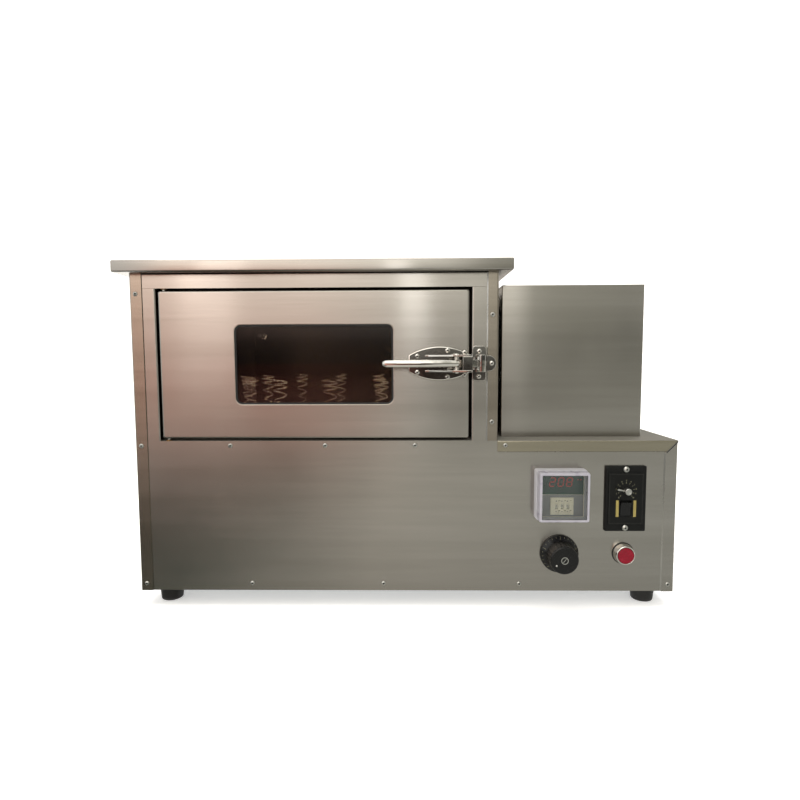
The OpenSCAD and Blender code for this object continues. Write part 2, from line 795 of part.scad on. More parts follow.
// Nut and washer that clamp the plate on its hub.
module hub_nut() {
    color("silver") place() translate([table_x, table_y, plate_z + plate_t]) difference() {
        union() {
            cylinder(r = 13, h = 2);
            translate([0, 0, 2]) cylinder(r = 10.5, h = 9, $fn = 6);
        }
        translate([0, 0, -1]) cylinder(r = shaft_d / 2, h = 20);
    }
}

// A holder is one length of wire wound on a cone: wide-pitched turns that start
// as a ring round the spigot, then close turns at the mouth.
coil_turns = open_turns + close_turns;
wire_sides = 5;
steps_per_turn = 10;
mouth_h = close_turns * close_pitch;
function coil_rise(t) = t <= 1 ? wire_r * 0.82 + t * wire_r * 1.6
    : t <= open_turns ? rise_at_one + (t - 1) * (coil_h - wire_r - mouth_h - rise_at_one) / (open_turns - 1)
    : coil_h - wire_r - mouth_h + (t - open_turns) * close_pitch;
rise_at_one = wire_r * 0.82 + wire_r * 1.6;
function coil_radius(t) = coil_low_r + (coil_top_r - coil_low_r) * coil_rise(t) / coil_h;
coil_steps = coil_turns * steps_per_turn;
coil_points = [for (i = [0:coil_steps], k = [0:wire_sides - 1])
    let (t = i / steps_per_turn, a = 360 * t, b = 360 * k / wire_sides - 54,
        r = coil_radius(t) + wire_r * cos(b))
    [r * cos(a), r * sin(a), coil_rise(t) + wire_r * sin(b)]];
coil_faces = concat(
    [[for (k = [0:wire_sides - 1]) k]],
    [for (i = [0:coil_steps - 1], k = [0:wire_sides - 1])
        let (a = i * wire_sides + k, b = i * wire_sides + (k + 1) % wire_sides)
        [a, a + wire_sides, b + wire_sides, b]],
    [[for (k = [wire_sides - 1:-1:0]) coil_steps * wire_sides + k]]);
function holder_angle(i) = ring_phase + 360 * i / holder_count;

module cone_holders() {
    color("whitesmoke") place() translate([table_x, table_y, plate_z + plate_t])
        for (i = [0:holder_count - 1]) rotate([0, 0, holder_angle(i)]) translate([ring_r, 0, 0.05])
            polyhedron(coil_points, coil_faces, convexity = 8);
}

// Fan wheel: backplate, curved row of blades, hub and its shaft.
module fan_wheel() {
    x0 = chamber_x1 + 8;
    color("lightsteelblue") place() translate([x0, table_y, fan_z]) rotate([0, 90, 0]) {
        translate([0, 0, wheel_w - 1.5]) cylinder(r = wheel_r, h = 1.5);
        cylinder(r = 9, h = wheel_w);
        for (i = [0:blade_count - 1]) rotate([0, 0, i * 360 / blade_count])
            translate([wheel_r - 20, 0, 0]) rotate([0, 0, 35]) cube([19, 1.2, wheel_w]);
        cylinder(r = fan_shaft_d / 2, h = box_x0 + 30 - x0);
    }
}

// ---------------------------------------------------------------- door

// Front skin of the door: face, four folded edges and the hem behind them.
module door_outer_skin() {
    color("silver") place() difference() {
        union() {
            translate([door_x0, panel_y, door_z0]) linear_extrude(door_h)
                fold_2d(door_w / 2, door_edge);
            translate([door_x1, panel_y, door_z0]) mirror([1, 0, 0]) linear_extrude(door_h)
                fold_2d(door_w / 2, door_edge);
            difference() {
                slab([door_x0 + sheet_t, door_x1 - sheet_t], [skin_y1 - eps, hem_y], [door_z0, door_z1]);
                slab([door_x0, door_x1], [panel_y, hem_y - sheet_t],
                    [door_z0 + sheet_t, door_z1 - sheet_t]);
                slab([door_x0 + pan_in, door_x1 - pan_in], [panel_y, hem_y + 1],
                    [door_z0 + pan_in, door_z1 - pan_in]);
            }
        }
        window_cut(0, panel_y - 1, 4);
        for (z = [door_z0 - 1, door_z1 - 2 * sheet_t]) rod_z([hinge_x, hinge_y, z], hinge_r, 4);
    }
}

// The window's outline, grown by g, cut back from y.
module window_cut(g, y, d) {
    front_block([window_x0 - g, window_x0 + window_w + g], [y, y + d],
        [window_z0 - g, window_z0 + window_h + g], window_r + max(g, -4));
}

// Inner pan of the door, a tray that closes the back round the inner pane.
module door_inner_pan() {
    y0 = panel_y + 15;
    color("lightgray") place() difference() {
        slab([door_x0 + pan_in, door_x1 - pan_in], [y0, pan_y + liner_t],
            [door_z0 + pan_in, door_z1 - pan_in]);
        slab([door_x0 + pan_in + liner_t, door_x1 - pan_in - liner_t], [y0 - 1, pan_y],
            [door_z0 + pan_in + liner_t, door_z1 - pan_in - liner_t]);
        window_cut(4, pan_y - 1, 5);
    }
}

// Two panes of toughened glass.
module window_panes() {
    color([0.6, 0.65, 0.62, 0.35]) place() for (y = [skin_y1, pan_y - glass_t])
        front_block([window_x0 - pane_lap, window_x0 + window_w + pane_lap], [y, y + glass_t],
            [window_z0 - pane_lap, window_z0 + window_h + pane_lap], 3);
}

// Spacer frame that parts the panes and keeps the wool out of the window.
module window_spacer() {
    y = [skin_y1 + glass_t, pan_y - glass_t];
    color("dimgray") place() difference() {
        window_cut(8, y[0], y[1] - y[0]);
        window_cut(5.5, y[0] - 1, y[1] - y[0] + 2);
    }
}

// Seal of the door: a soft ring on the inner pan that meets the chamber's mouth.
module door_seal() {
    y = [pan_y + liner_t, jamb_d - slip];
    x = [door_x0 + pan_in + 1.2, door_x1 - pan_in - 1.2];
    z = [door_z0 + pan_in + 0.6, door_z1 - pan_in - 0.6];
    color("sienna") place() difference() {
        front_block(x, y, z, 5);
        front_block([x[0] + seal_w, x[1] - seal_w], [y[0] - 1, y[1] + 1],
            [z[0] + seal_w, z[1] - seal_w], 2);
    }
}

// Mineral wool inside the door, round the window.
module door_insulation() {
    in = pan_in + liner_t;
    color("khaki") place() difference() {
        slab([door_x0 + in, door_x1 - in], [skin_y1, pan_y], [door_z0 + in, door_z1 - in]);
        slab([window_x0 - pane_lap, window_x0 + window_w + pane_lap], [0, pan_y + 1],
            [window_z0 - pane_lap, window_z0 + window_h + pane_lap]);
        for (z = [door_z0 + sheet_t, door_z1 - sheet_t - hinge_block[2]])
            slab([door_x0, door_x0 + hinge_block[0]], [panel_y, panel_y + hinge_block[1]],
                [z, z + hinge_block[2]]);
    }
}

// Concealed hinge: a block in each left-hand corner of the door with its pin.
module door_hinge_pins() {
    reach = door_gap + 6;
    color("silver") place() for (top = [false, true]) {
        z = top ? door_z1 - sheet_t - hinge_block[2] : door_z0 + sheet_t;
        slab([door_x0 + bend_r, door_x0 + hinge_block[0]], [panel_y + bend_r, panel_y + hinge_block[1]],
            [z, z + hinge_block[2]]);
        rod_z([hinge_x, hinge_y, top ? door_z1 - sheet_t : door_z0 - reach], hinge_r, reach + sheet_t);
    }
}

// Bushes of the hinge pins, one in the top rail and one in the deck.
module hinge_bushes() {
    depth = 8;
    wall = 1.45;
    color("darkgoldenrod") place() {
        difference() {
            union() {
                rod_z([hinge_x, hinge_y, jamb_z1], bush_r, depth);
                rod_z([hinge_x, hinge_y, jamb_z1 - 1], bush_r + 0.5, 1);
            }
            rod_z([hinge_x, hinge_y, jamb_z1 - 2], hinge_r + run_fit, depth + 3);
        }
        difference() {
            union() {
                rod_z([hinge_x, hinge_y, deck_z - depth], bush_r, depth);
                rod_z([hinge_x, hinge_y, deck_z], bush_r + 0.5, 1);
            }
            rod_z([hinge_x, hinge_y, deck_z - depth + wall], hinge_r + run_fit, depth + 3);
        }
    }
}

// ---------------------------------------------------------------- latch

// Outline of the base plate: two flat arcs that meet in blunt ends.
module latch_outline() {
    mid = pivot_x - 22;
    half_h = 24;
    arc_r = 86;
    intersection() {
        translate([mid, latch_z - arc_r + half_h]) circle(arc_r, $fn = 160);
        translate([mid, latch_z + arc_r - half_h]) circle(arc_r, $fn = 160);
        translate([latch_x0, latch_z - half_h - 5]) square([latch_x1 - latch_x0, 2 * half_h + 10]);
    }
}

// Side view, from above, of the housing's cheeks.
module cheek_2d() {
    polygon([[house_x0, base_y], [house_x0, base_y - 2], [house_x0 + 14, -11],
        [pivot_x - 14, -pivot_out - 3], [pivot_x, -pivot_out - 7.5], [pivot_x + 9, roof_y - roof_t],
        [house_x1, roof_y - roof_t], [house_x1, base_y]]);
}

// Cast latch body on the door: base plate, two cheeks, the roof over the tongue
// and six domed screws.
module latch_base() {
    color("lightgray") place() {
        difference() {
            union() {
                from_front(base_y, panel_y - base_y) latch_outline();
                for (z = [latch_z - cheek_gap / 2 - cheek_t, latch_z + cheek_gap / 2])
                    translate([0, 0, z]) linear_extrude(cheek_t) cheek_2d();
                slab([pivot_x + 9, house_x1], [roof_y - roof_t, roof_y],
                    [latch_z - cheek_gap / 2, latch_z + cheek_gap / 2]);
            }
            slab([pivot_x - 10, latch_x1 + 5], [base_y - 1, panel_y + 1],
                [latch_z - tongue_room, latch_z + tongue_room]);
            rod_z([pivot_x, -pivot_out, latch_z - cheek_gap], pin_d / 2, 2 * cheek_gap);
        }
        for (p = [[-54, 10.5], [-54, -12.5], [-11, 18.5], [-11, -19], [13, 15.5], [13, -16]])
            dome_head([pivot_x + p[0], base_y, latch_z + p[1]], screw_r, screw_h);
    }
}

// Pivot pin with riveted ends, and the return spring's turns round it beside the lever.
module latch_pin() {
    half = cheek_gap / 2 + cheek_t;
    wire = 0.7;
    first = lever_t / 2 + slip + wire;
    color("silver") place() translate([pivot_x, -pivot_out, latch_z])
        for (s = [0, 1]) mirror([0, 0, s]) rotate_extrude() {
            square([pin_d / 2, half]);
            polygon([[0, half - eps], [4, half], [3.4, half + 1.3], [0, half + 1.8]]);
            for (i = [0:2]) translate([pin_d / 2 + wire * 0.9, first + i * wire * 1.8])
                circle(wire, $fn = 20);
        }
}

// Lever seen from above: eye, long finger grip and the short tongue.
module lever_2d() {
    eye_r = 6;
    tip_r = 3.2;
    tip = pivot_x - lever_l;
    difference() {
        union() {
            translate([pivot_x, -pivot_out]) circle(eye_r);
            translate([tip + tip_r, -pivot_out - 5.3]) circle(tip_r);
            polygon([[pivot_x - 2, -pivot_out - 5.4], [pivot_x - 30, -pivot_out - 6.8],
                [tip + 22, -pivot_out - 8.9], [tip + 3, -pivot_out - 8.2],
                [tip + 3, -pivot_out - 2.4], [tip + 24, -pivot_out - 2.3],
                [pivot_x - 34, -pivot_out + 1.2], [pivot_x - 3, -pivot_out + 5],
                [pivot_x + 12, -pivot_out + 8], [tongue_x, -pivot_out + 8],
                [tongue_x, -pivot_out + 3.5], [pivot_x + 8, -pivot_out - 2],
                [pivot_x + 2, -pivot_out - 5.4]]);
        }
        translate([pivot_x, -pivot_out]) circle(pin_d / 2 + run_fit);
    }
}

module latch_lever() {
    color("lightgray") place()
        translate([0, 0, latch_z - lever_t / 2]) linear_extrude(lever_t) lever_2d();
}

// Strike on the frame: stepped plate with three ears and a half-round keeper.
module latch_strike() {
    plate_y = -2.5;
    ear_h = 24.5;
    ear_w = 19;
    lap_x = oven_w - flange_w + 2.5;
    color("lightgray") place() {
        difference() {
            union() {
                front_block([strike_x0, strike_x0 + ear_w], [plate_y, panel_y],
                    [latch_z - ear_h, latch_z + ear_h], 4);
                from_front(plate_y, -plate_y) {
                    translate([lap_x, latch_z]) circle(11.5);
                    translate([strike_x0 + 4, latch_z - 11.5]) square([lap_x - strike_x0 - 4, 23]);
                }
                rod_z([barrel_x, barrel_y, latch_z - barrel_h / 2], barrel_r, barrel_h);
                slab([barrel_x - barrel_r, barrel_x + barrel_r], [barrel_y, plate_y],
                    [latch_z - barrel_h / 2, latch_z + barrel_h / 2]);
            }
            slab([barrel_x - barrel_r - 1, barrel_x + 1.5], [barrel_y - 3.8, plate_y],
                [latch_z - tongue_room, latch_z + tongue_room]);
            slab([strike_x0 - 1, strike_x0 + 2.5], [plate_y - 1, panel_y + 1],
                [latch_z - tongue_room, latch_z + tongue_room]);
        }
        for (p = [[strike_x0 + 9, 17.5], [strike_x0 + 9, -18.5], [lap_x + 5, 0]])
            dome_head([p[0], plate_y, latch_z + p[1]], screw_r, screw_h);
    }
}

// ---------------------------------------------------------------- controls

function digit_x(i) = block_x + (i - 1) * digit_pitch;

// Bezel and case of the temperature controller, hollow behind its face.
module controller_case() {
    s = bezel_s / 2;
    color("gainsboro") place() difference() {
        union() {
            front_block([ctrl_x - s, ctrl_x + s], [ctrl_y, panel_y], [ctrl_z - s, ctrl_z + s], 3);
            slab([ctrl_x - case_s / 2, ctrl_x + case_s / 2], [panel_y, panel_y + case_d],
                [ctrl_z - case_s / 2, ctrl_z + case_s / 2]);
        }
        slab([ctrl_x - face_s / 2, ctrl_x + face_s / 2], [ctrl_y - 1, cavity_y1],
            [ctrl_z - face_s / 2, ctrl_z + face_s / 2]);
    }
}

// Display face with the hollow thumbwheel block and the wheels' axle.
module controller_face() {
    face_y = [ctrl_y + face_in, ctrl_y + face_in + 3];
    hollow_w = block_w - 2 * block_wall;
    hollow_h = block_h - 2 * block_wall;
    color("darkslategray") place() {
        difference() {
            union() {
                slab([ctrl_x - face_s / 2, ctrl_x + face_s / 2], face_y,
                    [ctrl_z - face_s / 2, ctrl_z + face_s / 2]);
                slab([block_x - block_w / 2, block_x + block_w / 2], [block_y, cavity_y1],
                    [block_z - block_h / 2, block_z + block_h / 2]);
            }
            slab([block_x - hollow_w / 2, block_x + hollow_w / 2], [wall_y, cavity_y1 - 2],
                [block_z - hollow_h / 2, block_z + hollow_h / 2]);
            for (i = [0:2]) {
                slab([digit_x(i) - 1.7, digit_x(i) + 1.7], [block_y - 1, wall_y + eps],
                    [block_z - 3.3, block_z + 3.3]);
                for (s = [-1, 1]) translate([digit_x(i) + pusher_shift, 0, block_z + s * pusher_up])
                    slab([-pusher_s / 2 - slip, pusher_s / 2 + slip], [block_y - 1, wall_y + eps],
                        [-pusher_s / 2 - slip, pusher_s / 2 + slip]);
            }
        }
        rod_x([block_x - hollow_w / 2, wheel_y, block_z], axle_r, hollow_w);
    }
}

// A thumbwheel with ten flats, turning on the shared axle.
module thumbwheel(i) {
    w = 3.6;
    color("white") place() translate([digit_x(i) - w / 2, wheel_y, block_z]) rotate([0, 90, 0])
        difference() {
            cylinder(r = digit_r, h = w, $fn = 10);
            translate([0, 0, -1]) cylinder(r = axle_r + run_fit, h = w + 2);
        }
}

// A stepping push piece above or below its digit, flanged behind the wall.
module pusher(i, side) {
    s = pusher_s / 2;
    color("ivory") place()
        translate([digit_x(i) + pusher_shift, 0, block_z + side * pusher_up]) {
            slab([-s, s], [block_y - 1.6, wall_y + slip], [-s, s]);
            slab([-s, s], [wall_y + slip, wall_y + slip + 1], [-s - 0.7, s + 0.7]);
        }
}

// Clear hinged cover over the controller: five thin walls, the top one ending in
// a round bead on the hinge line.
module controller_cover() {
    s = bezel_s / 2 - 1;
    t = 1.8;
    y = [ctrl_y - cover_d, ctrl_y - slip];
    z = [ctrl_z - s, ctrl_z + s];
    color([0.9, 0.93, 0.93, 0.35]) place() {
        difference() {
            front_block([ctrl_x - s, ctrl_x + s], y, z, 3);
            slab([ctrl_x - s + t, ctrl_x + s - t], [y[0] + t, y[1] + 1], [z[0] + t, z[1] - t]);
            slab([ctrl_x - s - 1, ctrl_x + s + 1], [y[1] - cover_bead, y[1] + 1],
                [z[1] - cover_bead, z[1] + 1]);
        }
        rod_x([ctrl_x - s + 3, y[1] - cover_bead, z[1] - cover_bead], cover_bead, 2 * s - 6);
    }
}

// Speed control: black moulded plate with a raised field, and the box behind the panel.
module speed_control() {
    plate_y = [panel_y - speed_plate_t, panel_y];
    field = [speed_w - 8, speed_h - 20];
    ro = rocker_open;
    color("dimgray") place() difference() {
        union() {
            front_block([speed_x - speed_w / 2, speed_x + speed_w / 2], plate_y,
                [speed_z - speed_h / 2, speed_z + speed_h / 2], 1.5);
            front_block([speed_x - field[0] / 2, speed_x + field[0] / 2], [plate_y[0] - 1, plate_y[0]],
                [speed_z - field[1] / 2, speed_z + field[1] / 2], 1);
            slab([speed_x - speed_body[0] / 2, speed_x + speed_body[0] / 2],
                [panel_y, panel_y + speed_body[1]],
                [speed_z - speed_body[2] / 2, speed_z + speed_body[2] / 2]);
        }
        rod_y([speed_x, plate_y[0] - 5, dial_z], spindle_r + run_fit, 22);
        slab([speed_x - ro[0] / 2, speed_x + ro[0] / 2], [plate_y[0] - 5, plate_y[0] + 15],
            [rocker_z - ro[1] / 2, rocker_z + ro[1] / 2]);
        rod_x([speed_x - ro[0] / 2 - 3, plate_y[0] + 4, rocker_z], 1.5 + run_fit, ro[0] + 6);
    }
}

// Silver dial with its pointer arm.
module speed_dial() {
    face_y = panel_y - speed_plate_t - 1;
    gap = 0.5;
    color("silver") place() {
        difference() {
            rod_y([speed_x, face_y - 10, dial_z], 4.7, 10 - gap);
            rod_y([speed_x, face_y - 11, dial_z], 2.6, 1.6);
        }
        rod_y([speed_x, face_y - gap - eps, dial_z], spindle_r, 14);
        translate([speed_x, face_y - 6, dial_z]) rotate([0, 10, 0]) {
            translate([-13, 0, -1.3]) cube([10, 3, 2.6]);
            translate([-13, 3, 0]) rotate([90, 0, 0]) cylinder(r = 1.3, h = 3);
        }
    }
}

// Rocker of the run switch, standing tipped to its stop side.
module run_stop_rocker() {
    w = rocker_open[0] - 1.6;
    h = rocker_open[1] - 3;
    tilt = 8;
    y0 = panel_y - speed_plate_t + 4;
    color("black") place() translate([speed_x, y0, rocker_z]) rotate([tilt, 0, 0]) {
        translate([-w / 2, 0, 0]) rotate([90, 0, 90]) linear_extrude(w) polygon([
            [-6.4, h / 2], [-4.6, 0], [-6.4, -h / 2], [3, -h / 2 + 3], [6, -3], [6, 3], [3, h / 2 - 3]]);
        rod_x([-w / 2 - 2.6, 0, 0], 1.5, w + 5.2);
    }
}

// Thermostat behind the panel: cylinder body, bush and capillary bulb holder.
module thermostat_body() {
    color("slategray") place() difference() {
        union() {
            rod_y([knob_x, panel_y + sheet_t, knob_z], 26, 24);
            slab([knob_x - 17, knob_x + 17], [panel_y + sheet_t + 24, panel_y + sheet_t + 36],
                [knob_z - 17, knob_z + 17]);
            rod_y([knob_x, panel_y, knob_z], 5, sheet_t + 1);
        }
        rod_y([knob_x, 0, knob_z], spindle_r + run_fit, 20);
    }
}

// Thermostat knob: skirt, tapered grip, cap screw and its spindle.
module thermostat_knob() {
    gap = 0.5;
    color("dimgray") place() translate([knob_x, panel_y - gap, knob_z]) rotate([90, 0, 0]) {
        difference() {
            rotate_extrude() polygon([[0, 0], [skirt_r - 0.6, 0], [skirt_r, 1.2], [skirt_r, 3],
                [skirt_r - 1, 4.5], [grip_r + 1.6, 9.5], [grip_r + 1, 11], [grip_r, knob_h - gap - 1.6],
                [grip_r - 1.4, knob_h - gap], [3.8, knob_h - gap], [3.8, knob_h - gap - 1.2],
                [0, knob_h - gap - 1.2]]);
            translate([-0.6, -4, knob_h - gap - 1.9]) cube([1.2, 8, 3]);
        }
        translate([0, 0, -16]) cylinder(r = spindle_r, h = 16 + eps);
    }
}

// Push button housing: chromed bezel, threaded barrel and contact block.
module button_housing() {
    h = button_h;
    color("silver") place() difference() {
        union() {
            translate([button_x, panel_y, button_z]) rotate([90, 0, 0]) rotate_extrude() polygon([
                [0, 0], [button_r, 0], [button_r, 4], [button_r - 0.5, 8], [button_r - 1.6, h],
                [cap_r + 1.4, h], [0, h]]);
            rod_y([button_x, panel_y, button_z], 11, 14);
            slab([button_x - 15, button_x + 15], [panel_y + 14, panel_y + 46],
                [button_z - 20, button_z + 20]);
        }
        rod_y([button_x, panel_y - h - 1, button_z], cap_r + slip, 9);
        rod_y([button_x, panel_y - h - 1, button_z], 4 + run_fit, 24);
    }
}

// Red cap of the push button on its stem.
module button_cap() {
    color("crimson") place() translate([button_x, panel_y - button_h + 3.5, button_z]) rotate([90, 0, 0]) {
        rotate_extrude() polygon([[0, 0], [cap_r, 0], [cap_r, 3.6], [cap_r - 0.7, 4.3],
            [cap_r - 1.4, 4.3], [cap_r - 2, 3.9], [0, 3.9]]);
        translate([0, 0, -8]) cylinder(r = 4, h = 8 + eps);
    }
}

// Cable gland on the rear panel, with the hole that a supply cord goes through.
module cable_gland() {
    y0 = back_y + sheet_t;
    color("dimgray") place() difference() {
        union() {
            rod_y([gland_x, back_y - 6, gland_z], gland_r, gland_reach + 6);
            translate([gland_x, y0, gland_z]) rotate([-90, 0, 0])
                cylinder(r = gland_r + 5, h = 6, $fn = 6);
            translate([gland_x, y0 + 6, gland_z]) rotate([-90, 0, 0]) rotate_extrude()
                polygon([[0, 0], [gland_r + 3, 0], [gland_r + 3, gland_reach - 10],
                    [gland_r, gland_reach - 6], [0, gland_reach - 6]]);
            translate([gland_x, back_y, gland_z]) rotate([90, 0, 0])
                cylinder(r = gland_r + 5, h = 5, $fn = 6);
        }
        rod_y([gland_x, back_y - 10, gland_z], gland_bore_r, gland_reach + 30);
    }
}

// Pop rivets of the flanges and panels, and the two screws of the speed control.
module panel_fasteners() {
    side_x = flange_w / 2;
    low_z = 10.5;
    deck_rivet_z = deck_z - 7;
    under_door = [-123.2, 14.3, 143.9];
    under_base = [-225.3, -32, 166.3];
    plate_screw = speed_h / 2 - 5;
    color("silver") place() {
        for (z = [low_z, deck_rivet_z, oven_z - 28.5]) dome_head([side_x, 0, z]);
        dome_head([body_w - side_x, 0, low_z]);
        for (x = under_door) dome_head([table_x + x, panel_y, deck_rivet_z]);
        dome_head([box_x0, 0, deck_rivet_z]);
        for (x = under_base) dome_head([body_w / 2 + x, panel_y, low_z]);
        for (z = [deck_z + 27, oven_z - 60]) dome_head([oven_w - side_x, 0, z]);
        for (z = [speed_z - plate_screw, speed_z + plate_screw])
            dome_head([speed_x, panel_y - speed_plate_t, z], 4.5, 2.6);
        for (x = [side_x, body_w - side_x], z = [low_z, deck_rivet_z])
            translate([x, body_d, z]) rotate([0, 0, 180]) dome_head([0, 0, 0]);
    }
}

// Solid-state relay on its finned heat sink, on the floor of the base.
module heater_relay() {
    sink = [80, 60, 26];
    fins = 9;
    fin_pitch = 8;
    x = body_w / 2 + 90;
    y = table_y + 90;
    color("slategray") place() {
        difference() {
            slab([x, x + sink[0]], [y, y + sink[1]], [sheet_t, sink[2]]);
            for (i = [0:fins - 1])
                slab([x + 5 + i * fin_pitch, x + 9 + i * fin_pitch], [y - 1, y + sink[1] + 1],
                    [sheet_t - 1, sink[2] - 8]);
        }
        slab([x + 17, x + sink[0] - 17], [y + 1, y + sink[1] - 1], [sink[2], sink[2] + 24]);
    }
}

base_pan();
base_front_panel();
left_side_panel();
base_right_panel();
base_deck();
base_rear_panel();
rubber_feet();
oven_front_frame();
oven_right_panel();
oven_rear_panel();
top_cover();
chamber_liner();
chamber_insulation();
insulation_tray();
fan_box();
heating_elements();
temperature_probe();
fan_guard();
fan_motor();
latch_strike();
hinge_bushes();
gear_motor();
shaft_bearing();
controller_case();
controller_face();
speed_control();
thermostat_body();
button_housing();
cable_gland();
panel_fasteners();
heater_relay();
door_outer_skin();
door_inner_pan();
window_panes();
window_spacer();
door_seal();
door_insulation();
door_hinge_pins();
latch_base();
latch_pin();
latch_lever();
carousel_shaft();
carousel_plate();
cone_holders();
hub_nut();
fan_wheel();
speed_dial();
run_stop_rocker();
thermostat_knob();
button_cap();
controller_cover();
thumbwheel(0);  // thumbwheel_1
thumbwheel(1);  // thumbwheel_2
thumbwheel(2);  // thumbwheel_3
pusher(0, 1);  // plus_pusher_1
pusher(1, 1);  // plus_pusher_2
pusher(2, 1);  // plus_pusher_3
pusher(0, -1);  // minus_pusher_1
pusher(1, -1);  // minus_pusher_2
pusher(2, -1);  // minus_pusher_3
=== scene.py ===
# %% [markdown]
# A bench oven in folded stainless steel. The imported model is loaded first: it holds
# every solid of the oven in metres, and the bodies that its joints move. Each piece
# made here rides on one of those bodies.
# %% The frame
import math
import bmesh
import bpy
import numpy as np
from mathutils import Matrix, Vector


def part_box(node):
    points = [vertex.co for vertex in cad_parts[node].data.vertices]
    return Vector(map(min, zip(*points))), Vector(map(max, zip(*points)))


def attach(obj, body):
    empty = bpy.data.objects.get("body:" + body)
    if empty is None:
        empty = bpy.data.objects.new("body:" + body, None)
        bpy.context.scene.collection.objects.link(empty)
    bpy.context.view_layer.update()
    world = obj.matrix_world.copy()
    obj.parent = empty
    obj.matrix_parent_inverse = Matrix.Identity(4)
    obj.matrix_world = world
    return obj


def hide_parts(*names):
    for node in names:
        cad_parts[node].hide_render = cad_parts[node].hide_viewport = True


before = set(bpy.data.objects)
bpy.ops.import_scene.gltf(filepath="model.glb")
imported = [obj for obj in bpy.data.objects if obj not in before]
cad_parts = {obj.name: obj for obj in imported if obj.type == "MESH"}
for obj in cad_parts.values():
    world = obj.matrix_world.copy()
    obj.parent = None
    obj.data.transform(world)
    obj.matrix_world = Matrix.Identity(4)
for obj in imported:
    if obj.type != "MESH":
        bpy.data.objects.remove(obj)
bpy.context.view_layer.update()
START = np.array(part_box("left_side_panel")[0])
print("cabinet's lower left front corner", START.round(4))

# %% [markdown]
# Sizes on a sheet metal drawing are in millimetres from one corner, so every shape
# here is written that way: x across the front from the cabinet's left edge, y back
# from the face of the corner flanges, z up from the cabinet's bottom edge. One
# function turns such points into the frame's metres.
# %% Points and grids
def to_metres(points):
    """Drawing point in mm, divided by 1000, plus the cabinet's corner."""
    return START + np.asarray(points, float) / 1000.0


def surface(points, close_u=False, close_v=False, caps=False):
    """Quads (i, j), (i, j+1), (i+1, j+1), (i+1, j) of a grid, and caps over its end rows."""
    nu, nv = points.shape[:2]
    i, j = (k.ravel() for k in np.indices((nu - (not close_u), nv - (not close_v))))
    k, l = (i + 1) % nu, (j + 1) % nv
    faces = np.stack([i * nv + j, i * nv + l, k * nv + l, k * nv + j], 1).tolist()
    if caps:
        faces += [list(range(nv)), list(range((nu - 1) * nv, nu * nv))[::-1]]
    return points.reshape(-1, 3), faces


def grid(x, y, z):
    """Points of a grid from its coordinates, each spread over the others."""
    return np.stack(np.broadcast_arrays(x, y, z), -1)


def mesh_object(name, verts, faces):
    mesh = bpy.data.meshes.new(name)
    mesh.from_pydata(verts, [], faces)
    obj = bpy.data.objects.new(name, mesh)
    bpy.context.scene.collection.objects.link(obj)
    return obj


def outward(mesh):
    """Welds doubles, then turns every closed shell's faces outwards."""
    bm = bmesh.new()
    bm.from_mesh(mesh)
    bmesh.ops.remove_doubles(bm, verts=bm.verts, dist=2e-6)
    bmesh.ops.recalc_face_normals(bm, faces=bm.faces)
    bm.to_mesh(mesh)
    bm.free()


def piece(name, parts, material, body="cabinet", replaces=None, angle=35, flip=True):
    """Joins parts, each a set of points in mm and its faces, into one object on a body."""
    faces, start = [], 0
    for points, part_faces in parts:
        faces += [[v + start for v in f] for f in part_faces]
        start += len(points)
    obj = mesh_object(name, to_metres(np.concatenate([points for points, _ in parts])), faces)
    mesh = obj.data
    if flip:
        outward(mesh)
    mesh.shade_smooth()
    mesh.set_sharp_from_angle(angle=math.radians(angle))
    mesh.materials.append(material)
    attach(obj, body)
    if replaces:
        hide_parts(replaces)
    print(f"{name}: {len(mesh.polygons)} faces on {body}")
    return obj


def bevel(obj, width_mm, segments=2, angle=40):
    """Rounds the edges sharper than angle; the shape itself stays."""
    mod = obj.modifiers.new("eased edges", "BEVEL")
    mod.width, mod.segments, mod.limit_method = width_mm / 1000, segments, "ANGLE"
    mod.angle_limit = math.radians(angle)
    mod.harden_normals = True

# %% [markdown]
# Four families of surface make nearly all of the oven: a lathe turning (rivets,
# knob, button), a prism (plates), a box with rounded edges (folded covers), and a
# loft through rounded rectangles (door skin, seal, bezel).
# %% Turned pieces and prisms
X, Y, Z = np.eye(3)
AXES = {"-y": (X, Z, -Y), "x": (Y, Z, X), "z": (X, Y, Z)}


def round_angles(n):
    return np.linspace(0, 2 * np.pi, n, endpoint=False)


def lathe(profile, centre, axis="-y", n=48):
    """Radius and height rows, turned round an axis: centre + r(cos a, sin a) + h axis."""
    u, v, w = AXES[axis]
    p = np.asarray(profile, float)[..., None, None]
    a = round_angles(n)[:, None]
    return surface(np.asarray(centre, float) + p[:, 0] * (np.cos(a) * u + np.sin(a) * v) + p[:, 1] * w, close_v=True)


def arc(cx, cy, r, a0, a1, n=6):
    """Points on a circle between two angles in degrees."""
    a = np.radians(np.linspace(a0, a1, n))
    return np.stack([cx + r * np.cos(a), cy + r * np.sin(a)], 1)


def prism(outline, lo, hi, axis="y"):
    """An outline in the plane across the axis, moved from lo to hi along it, and capped."""
    rows = [np.insert(np.asarray(outline, float), "xyz".index(axis), d, axis=1) for d in (lo, hi)]
    return surface(np.stack(rows), close_v=True, caps=True)


def turned_outline(points, centre, degrees):
    """Flat points turned about the origin, then moved to a centre."""
    c, s = math.cos(math.radians(degrees)), math.sin(math.radians(degrees))
    p = np.asarray(points, float)
    return np.stack([centre[0] + p[:, 0] * c - p[:, 1] * s, centre[1] + p[:, 0] * s + p[:, 1] * c], 1)

# %% Boxes with rounded edges
SUPPORT = 0.3  # a grid line this far from a cut edge keeps the shading of the face flat


